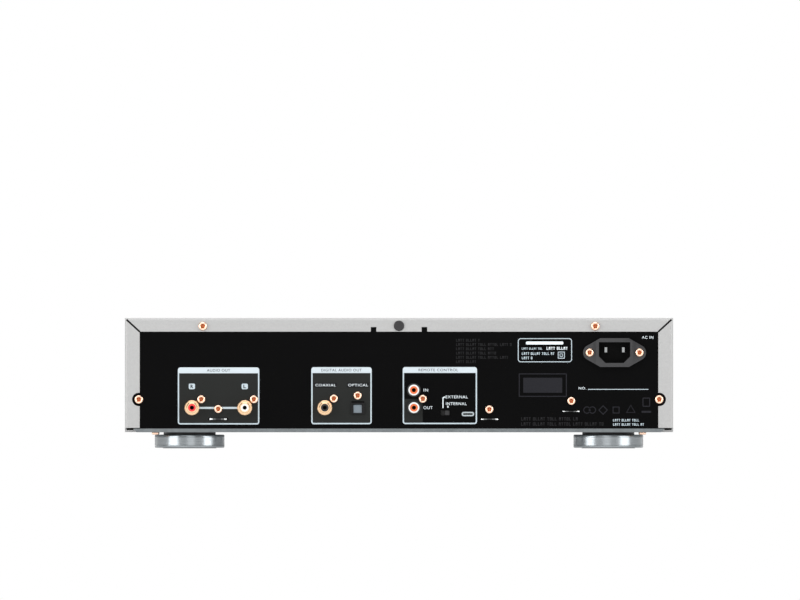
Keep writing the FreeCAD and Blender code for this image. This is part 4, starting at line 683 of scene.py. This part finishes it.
def make_socket_hole_shade():
    """Near-black sleeves inside the centre holes of the phono sockets: painted shade in the holes."""
    outer, bore, front, floor = 1.66 * MM, 1.3 * MM, -0.3 * MM, 0.4 * MM
    meshes = []
    for node in ("output_insert_red", "output_insert_white", "coax_insert", "remote_jack_inserts"):
        for low, high in islands(node):
            deep = high.y - low.y - 1.5 * MM
            profile = [(0, -deep), (outer, -deep), (outer, front), (bore, front), (bore, floor - deep),
                       (0, floor - deep)]
            at = Vector(((low.x + high.x) / 2, high.y, (low.z + high.z) / 2))
            meshes.append(moved(turned(profile, 40, closed=False), Matrix.Translation(at) @ REAR))
    piece_of("socket_hole_shade", meshes, SHADE_BLACK, smooth=True)


def bowed_strip(x, z, x_from, x_to, half, z_low, z_high):
    """Part of a thin strip that bows out of the panel between its two ends."""
    thick, sunk, bulge, steps = 0.35 * MM, 0.6 * MM, 1.5 * MM, 12
    shape = bmesh.new()
    rings = []
    for step in range(steps + 1):
        across = x_from + (x_to - x_from) * step / steps
        out = PANEL_Y - sunk + bulge * (1 - (across / half) ** 2)
        rings.append([shape.verts.new((x + across, y, z + height)) for y, height in (
            (out, z_low), (out + thick, z_low), (out + thick, z_high), (out, z_high))])
    for first, second in zip(rings, rings[1:]):
        for corner in range(4):
            after = (corner + 1) % 4
            shape.faces.new((first[corner], first[after], second[after], second[corner]))
    shape.faces.new(rings[0])
    shape.faces.new(list(reversed(rings[-1])))
    return mesh_from(shape, "strip")


def make_lances():
    """Strips lanced out of the panel: bright metal towards their ends as a painted glint, darker metal on
    the slopes as painted half-shade, black in the middle.
    """
    right, left = middle("output_insert_red"), middle("output_insert_white")
    remote = middle("remote_jack_inserts")
    supply = middle("mains_inlet")
    # each strip's centre, and its lower and upper edge from there in millimetres
    spots = (((right.x + left.x) / 2, right.z - 9.2 * MM, -0.55, 0.55),
             (remote.x - 60.65 * MM, right.z - 9.2 * MM, -0.5, 0.4),
             (supply.x + 35.0 * MM, supply.z - 46.8 * MM, -0.75, -0.05))
    half = 6.9 * MM
    paint_end, slope_end = half * 0.3, half * 0.66
    metal, half_shade, black = [], [], []
    for x, z, low, high in spots:
        edges = (half, low * MM, high * MM)
        for side in (-1, 1):
            metal.append(bowed_strip(x, z, side * slope_end, side * half, *edges))
            half_shade.append(bowed_strip(x, z, side * paint_end, side * slope_end, *edges))
        black.append(bowed_strip(x, z, -paint_end, paint_end, *edges))
    piece_of("lance_glint", metal, METAL_GLINT)
    piece_of("lance_half_shade", half_shade, METAL_HALF_SHADE)
    piece_of("lance_paint", black, OWN_FINISH["slide_switch_knob"])


def make_seam_shade():
    """Painted shade: dark strips on the cover's rear flange along its two mitred corners, where the gaps
    fall in shade.
    """
    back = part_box("top_cover")[1]
    inset, along, down, half = 1.3 * MM, 10.6 * MM, 9.752 * MM, 0.5 * MM
    loops = []
    for side in (-1, 1):
        outer_x, outer_z = side * (back[0] - inset), back[2] - inset
        inner_x, inner_z = outer_x - side * along, outer_z - down
        loops.append([(outer_x - side * half, outer_z + half), (outer_x + side * half, outer_z - half),
                      (inner_x + side * half, inner_z - half), (inner_x - side * half, inner_z + half)])
    piece_of("cover_seam_shade", [plate(loops, back[1] + 0.01 * MM, 0.03 * MM)], SHADE_BLACK)


def mouth_outline(x, z, inset):
    """The mouth of the mains inlet, with its two lower corners cut off, drawn in by an inset."""
    wide, high, corner = 12.6 * MM - inset, 8.4 * MM - inset, 5.3 * MM - inset * 0.6
    return [(x - wide + corner, z - high), (x + wide - corner, z - high), (x + wide, z - high + corner),
            (x + wide, z + high), (x - wide, z + high), (x - wide, z - high + corner)]


def make_inlet_liner():
    """A thin near-black lining inside the mouth of the mains inlet: partly the inlet's own black inside,
    partly painted shade in the deep mouth.
    """
    inlet = middle("mains_inlet")
    mouth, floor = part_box("mains_inlet")[1][1] - 1.2 * MM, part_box("inlet_pins")[0][1]
    outer, inner, end = (mouth_outline(inlet.x, inlet.z, inset * MM) for inset in (0.03, 0.4, 0.05))
    walls = plate([outer, inner], (mouth + floor) / 2, (mouth - floor) / 2)
    end = plate([end], floor + 0.2 * MM, 0.15 * MM)
    piece_of("inlet_liner", [walls, end], SHADE_BLACK)


WELD = 0.002 * MM
FLAT_WITHIN, SHARP_FROM = math.radians(1), math.radians(40)


def bevelled(node, width, body):
    """A copy of a CAD node with its sharp edges softened, in its place."""
    shape = bmesh.new()
    shape.from_mesh(frame["nodes"][node].data)
    bmesh.ops.remove_doubles(shape, verts=shape.verts, dist=WELD)
    bmesh.ops.dissolve_limit(shape, angle_limit=FLAT_WITHIN, verts=shape.verts, edges=shape.edges)
    sharp = [edge for edge in shape.edges
             if len(edge.link_faces) == 2 and edge.calc_face_angle(0) > SHARP_FROM]
    bmesh.ops.bevel(shape, geom=sharp, offset=width, offset_type="OFFSET", segments=2, profile=0.6,
                    affect="EDGES", clamp_overlap=True)
    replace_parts(piece_of(f"{node}_soft", [mesh_from(shape, node)], finish_of(node), body,
                         smooth=True), node)


KEYS = ("open_close_button", "play_button", "stop_button", "skip_back_button", "skip_forward_button")

# Nodes whose edges are softened: the width of the soft edge in mm, and the body that the node rides on.
SOFT_EDGES = {
    "mains_inlet": (0.7, ROOT), "optical_jack": (0.2, ROOT), "slide_switch_knob": (0.15, "switch_knob"),
    "tray_door": (0.5, "tray"), "hole_plug": (0.1, ROOT), **{key: (0.35, key) for key in KEYS},
}


def make_soft_edges():
    """Softened copies in place of the nodes listed above."""
    for node, (width, body) in SOFT_EDGES.items():
        bevelled(node, width * MM, body)


# ---------------------------------------------------------------- front

def face_of(node):
    """The centre of a control as seen from the front, as (x, z)."""
    centre = middle(node)
    return centre.x, centre.z


def triangle(x, z, size, heading):
    return [(x + size * math.cos(math.radians(heading + turn)),
             z + size * math.sin(math.radians(heading + turn))) for turn in (0, 120, 240)]


def box_line(x_low, x_high, z_low, z_high):
    return [(x_low, z_low), (x_high, z_low), (x_high, z_high), (x_low, z_high)]


def key_legends():
    """The signs on the front keys, each as outlines round (0, 0) in millimetres."""
    back = [triangle(-0.2, 0, 1.5, 180), triangle(2.2, 0, 1.5, 180), box_line(-2.6, -2.0, -1.3, 1.3)]
    forward = [[(-x, z) for x, z in loop] for loop in back]
    return {"open_close_button": [triangle(0, 0.5, 1.6, 90), box_line(-1.4, 1.4, -1.3, -0.8)],
            "play_button": [triangle(-1.6, 0, 1.6, 0), box_line(1.0, 1.6, -1.4, 1.4),
                            box_line(2.3, 2.9, -1.4, 1.4)],
            "stop_button": [box_line(-1.3, 1.3, -1.3, 1.3)],
            "skip_back_button": back, "skip_forward_button": forward}


# A control, the word under it, how far below the control's centre it stands, and its width (mm).
FRONT_WORDS = (("power_button", "POWER", 12.5, 10.5), ("headphone_jack", "PHONES", 11.0, 12.0),
               ("level_knob", "LEVEL", 13.0, 9.5))
SIGN_PROUD, SIGN_THICK = 0.02 * MM, 0.03 * MM


def sign(name, loops, node):
    """A printed sign on the front face of a moving control."""
    made = plate(loops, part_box(node)[0][1] - SIGN_PROUD, SIGN_THICK, FRONT)
    piece_of(name, [made], INKS["ink_dark"], node)


def make_legends():
    """The signs on the keys, the level knob's pointer, and the words under three controls."""
    for node, loops in key_legends().items():
        x, z = face_of(node)
        placed = [[(x + across * MM, z + rise * MM) for across, rise in loop] for loop in loops]
        sign(f"{node}_sign", placed, node)
    x, z = face_of("level_knob")
    sign("level_pointer", [rounded(x - 0.45 * MM, x + 0.45 * MM, z + 3.2 * MM, z + 8.0 * MM, 0.4 * MM)],
         "level_knob")
    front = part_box("front_panel")[0][1]
    words = []
    for node, text, drop, wide in FRONT_WORDS:
        x, z = face_of(node)
        words.append(lettering(text, x, z - drop * MM, wide * MM, 2.0 * MM, front - SIGN_PROUD, FRONT))
    piece_of("front_words", words, INKS["ink_dark"])


def digit(x, z):
    """The seven bars of one display digit."""
    half, thick, rise, aside = 2.3 * MM, 0.45 * MM, 5.4 * MM, 3.0 * MM
    bars = [box_line(x - half, x + half, z + up - thick, z + up + thick) for up in (-rise, 0, rise)]
    for across in (x - aside, x + aside):
        for centre in (z - rise / 2, z + rise / 2):
            bars.append(box_line(across - thick, across + thick, centre - 2.0 * MM, centre + 2.0 * MM))
    return bars


def make_display_marks():
    """Six faint unlit digits on the smoked window: two, a gap, and four."""
    low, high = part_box("display_window")
    loops = []
    for number in range(6):
        along = 0.2 + 0.11 * number + (0.03 if number > 1 else 0)
        loops += digit(low[0] + (high[0] - low[0]) * along, (low[2] + high[2]) / 2)
    piece_of("display_digits", [plate(loops, low[1] - 0.01 * MM, 0.02 * MM, FRONT)], INKS["ink_faint"])


# ---------------------------------------------------------------- feet

def make_foot_rings():
    """Turned rings with rounded rims and two fine grooves in place of the plain ones."""
    inner, edge, groove_in, nick = 24.15 * MM, 0.9 * MM, 2.0 * MM, 0.15 * MM
    meshes = []
    for low, high in islands("foot_rings"):
        outer, bottom, top = (high.x - low.x) / 2, low.z, high.z
        profile = [(inner, bottom), (outer - edge, bottom), (outer - edge * 0.3, bottom + edge * 0.3),
                   (outer, bottom + edge)]
        for groove in (bottom + groove_in, top - groove_in):
            profile += [(outer, groove - nick), (outer - nick, groove), (outer, groove + nick)]
        profile += [(outer, top - edge), (outer - edge * 0.3, top - edge * 0.3), (outer - edge, top),
                    (inner, top)]
        at = Matrix.Translation(((low.x + high.x) / 2, (low.y + high.y) / 2, 0))
        meshes.append(moved(turned(profile, 128), at))
    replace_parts(piece_of("foot_rings_turned", meshes, FINISHES["foot_metal"], smooth=True), "foot_rings")


# ---------------------------------------------------------------- studio

def make_floor():
    """A pale floor that the object stands on."""
    half, cells = 8.0, 8
    shape = bmesh.new()
    bmesh.ops.create_grid(shape, x_segments=cells, y_segments=cells, size=half)
    mesh = mesh_from(shape, "floor")
    mesh.materials.append(finish("floor_pale", (0.5, 0.5, 0.5), 0.7, tone=0.01, grain=60, mottle=4,
                                 Emission_Color=(1, 1, 1, 1), Emission_Strength=0.5))
    place_in_scene(bpy.data.objects.new("floor", mesh))


# Strengths of the white seen behind the object, and of the even light from all round.
BEHIND, AROUND = 1.0, 0.3


def make_world():
    """White behind the object, and a dimmer even light around it."""
    world = bpy.data.worlds.new("studio")
    bpy.context.scene.world = world
    world.use_nodes = True
    nodes, links = world.node_tree.nodes, world.node_tree.links
    nodes.clear()
    mix = nodes.new("ShaderNodeMixShader")
    for socket, strength in ((1, AROUND), (2, BEHIND)):
        sky = nodes.new("ShaderNodeBackground")
        sky.inputs["Color"].default_value = (1, 1, 1, 1)
        sky.inputs["Strength"].default_value = strength
        links.new(sky.outputs["Background"], mix.inputs[socket])
    path = nodes.new("ShaderNodeLightPath")
    links.new(path.outputs["Is Camera Ray"], mix.inputs["Fac"])
    out = nodes.new("ShaderNodeOutputWorld")
    links.new(mix.outputs["Shader"], out.inputs["Surface"])


def make_sun(name, azimuth, elevation, strength, spread):
    """A broad, soft light from an azimuth round +Y and a height."""
    lamp = bpy.data.lights.new(name, "SUN")
    lamp.energy = strength
    lamp.angle = math.radians(spread)
    holder = place_in_scene(bpy.data.objects.new(name, lamp))
    turn, rise = math.radians(azimuth), math.radians(elevation)
    towards = Vector((math.sin(turn) * math.cos(rise), math.cos(turn) * math.cos(rise), math.sin(rise)))
    holder.rotation_mode = "QUATERNION"
    holder.rotation_quaternion = towards.to_track_quat("Z", "Y")


AIM = Vector((0, 0, 0.05))


def make_strip(name, azimuth, strength, wide, away=2.2, tall=1.6):
    """A softbox that stands on the floor, facing the object and out of the camera's sight."""
    lamp = bpy.data.lights.new(name, "AREA")
    lamp.shape = "RECTANGLE"
    lamp.size, lamp.size_y = wide, tall
    lamp.energy = strength
    holder = place_in_scene(bpy.data.objects.new(name, lamp))
    turn = math.radians(azimuth)
    at = Vector((away * math.sin(turn), away * math.cos(turn), tall * 0.45))
    holder.visible_camera = False
    holder.location = at
    holder.rotation_mode = "QUATERNION"
    holder.rotation_quaternion = (at - AIM).to_track_quat("Z", "Y")


# The width that the view takes in, its middle, and the camera's distance from the rear panel.
VIEW_WIDE = 0.642
VIEW_X, VIEW_Z, VIEW_AWAY = -0.0008, 0.119, 2.0


def make_camera():
    """Straight behind the player and level, with parallel sight lines."""
    data = bpy.data.cameras.new("camera")
    data.type = "ORTHO"
    data.ortho_scale = VIEW_WIDE
    camera = place_in_scene(bpy.data.objects.new("camera", data))
    camera.location = (VIEW_X, PANEL_Y + VIEW_AWAY, VIEW_Z)
    camera.rotation_euler = (math.pi / 2, 0, math.pi)
    bpy.context.scene.camera = camera


dress_frame()
make_prints()
make_screws()
make_foot_rings()
make_socket_hole_shade()
make_lances()
make_seam_shade()
make_inlet_liner()
make_soft_edges()
make_legends()
make_display_marks()
make_floor()
make_world()
make_sun("top_light", azimuth=0, elevation=80, strength=1.7, spread=60)
make_sun("rear_light", azimuth=15, elevation=38, strength=0.6, spread=50)
make_sun("front_light", azimuth=170, elevation=40, strength=1.1, spread=60)
make_strip("left_strip", azimuth=58, strength=32, wide=1.35)
make_strip("right_strip", azimuth=-58, strength=32, wide=1.35)
make_strip("rear_box", azimuth=0, strength=5.0, wide=1.3, away=3.2, tall=1.0)
make_camera()
bpy.context.scene.view_settings.view_transform = "Standard"
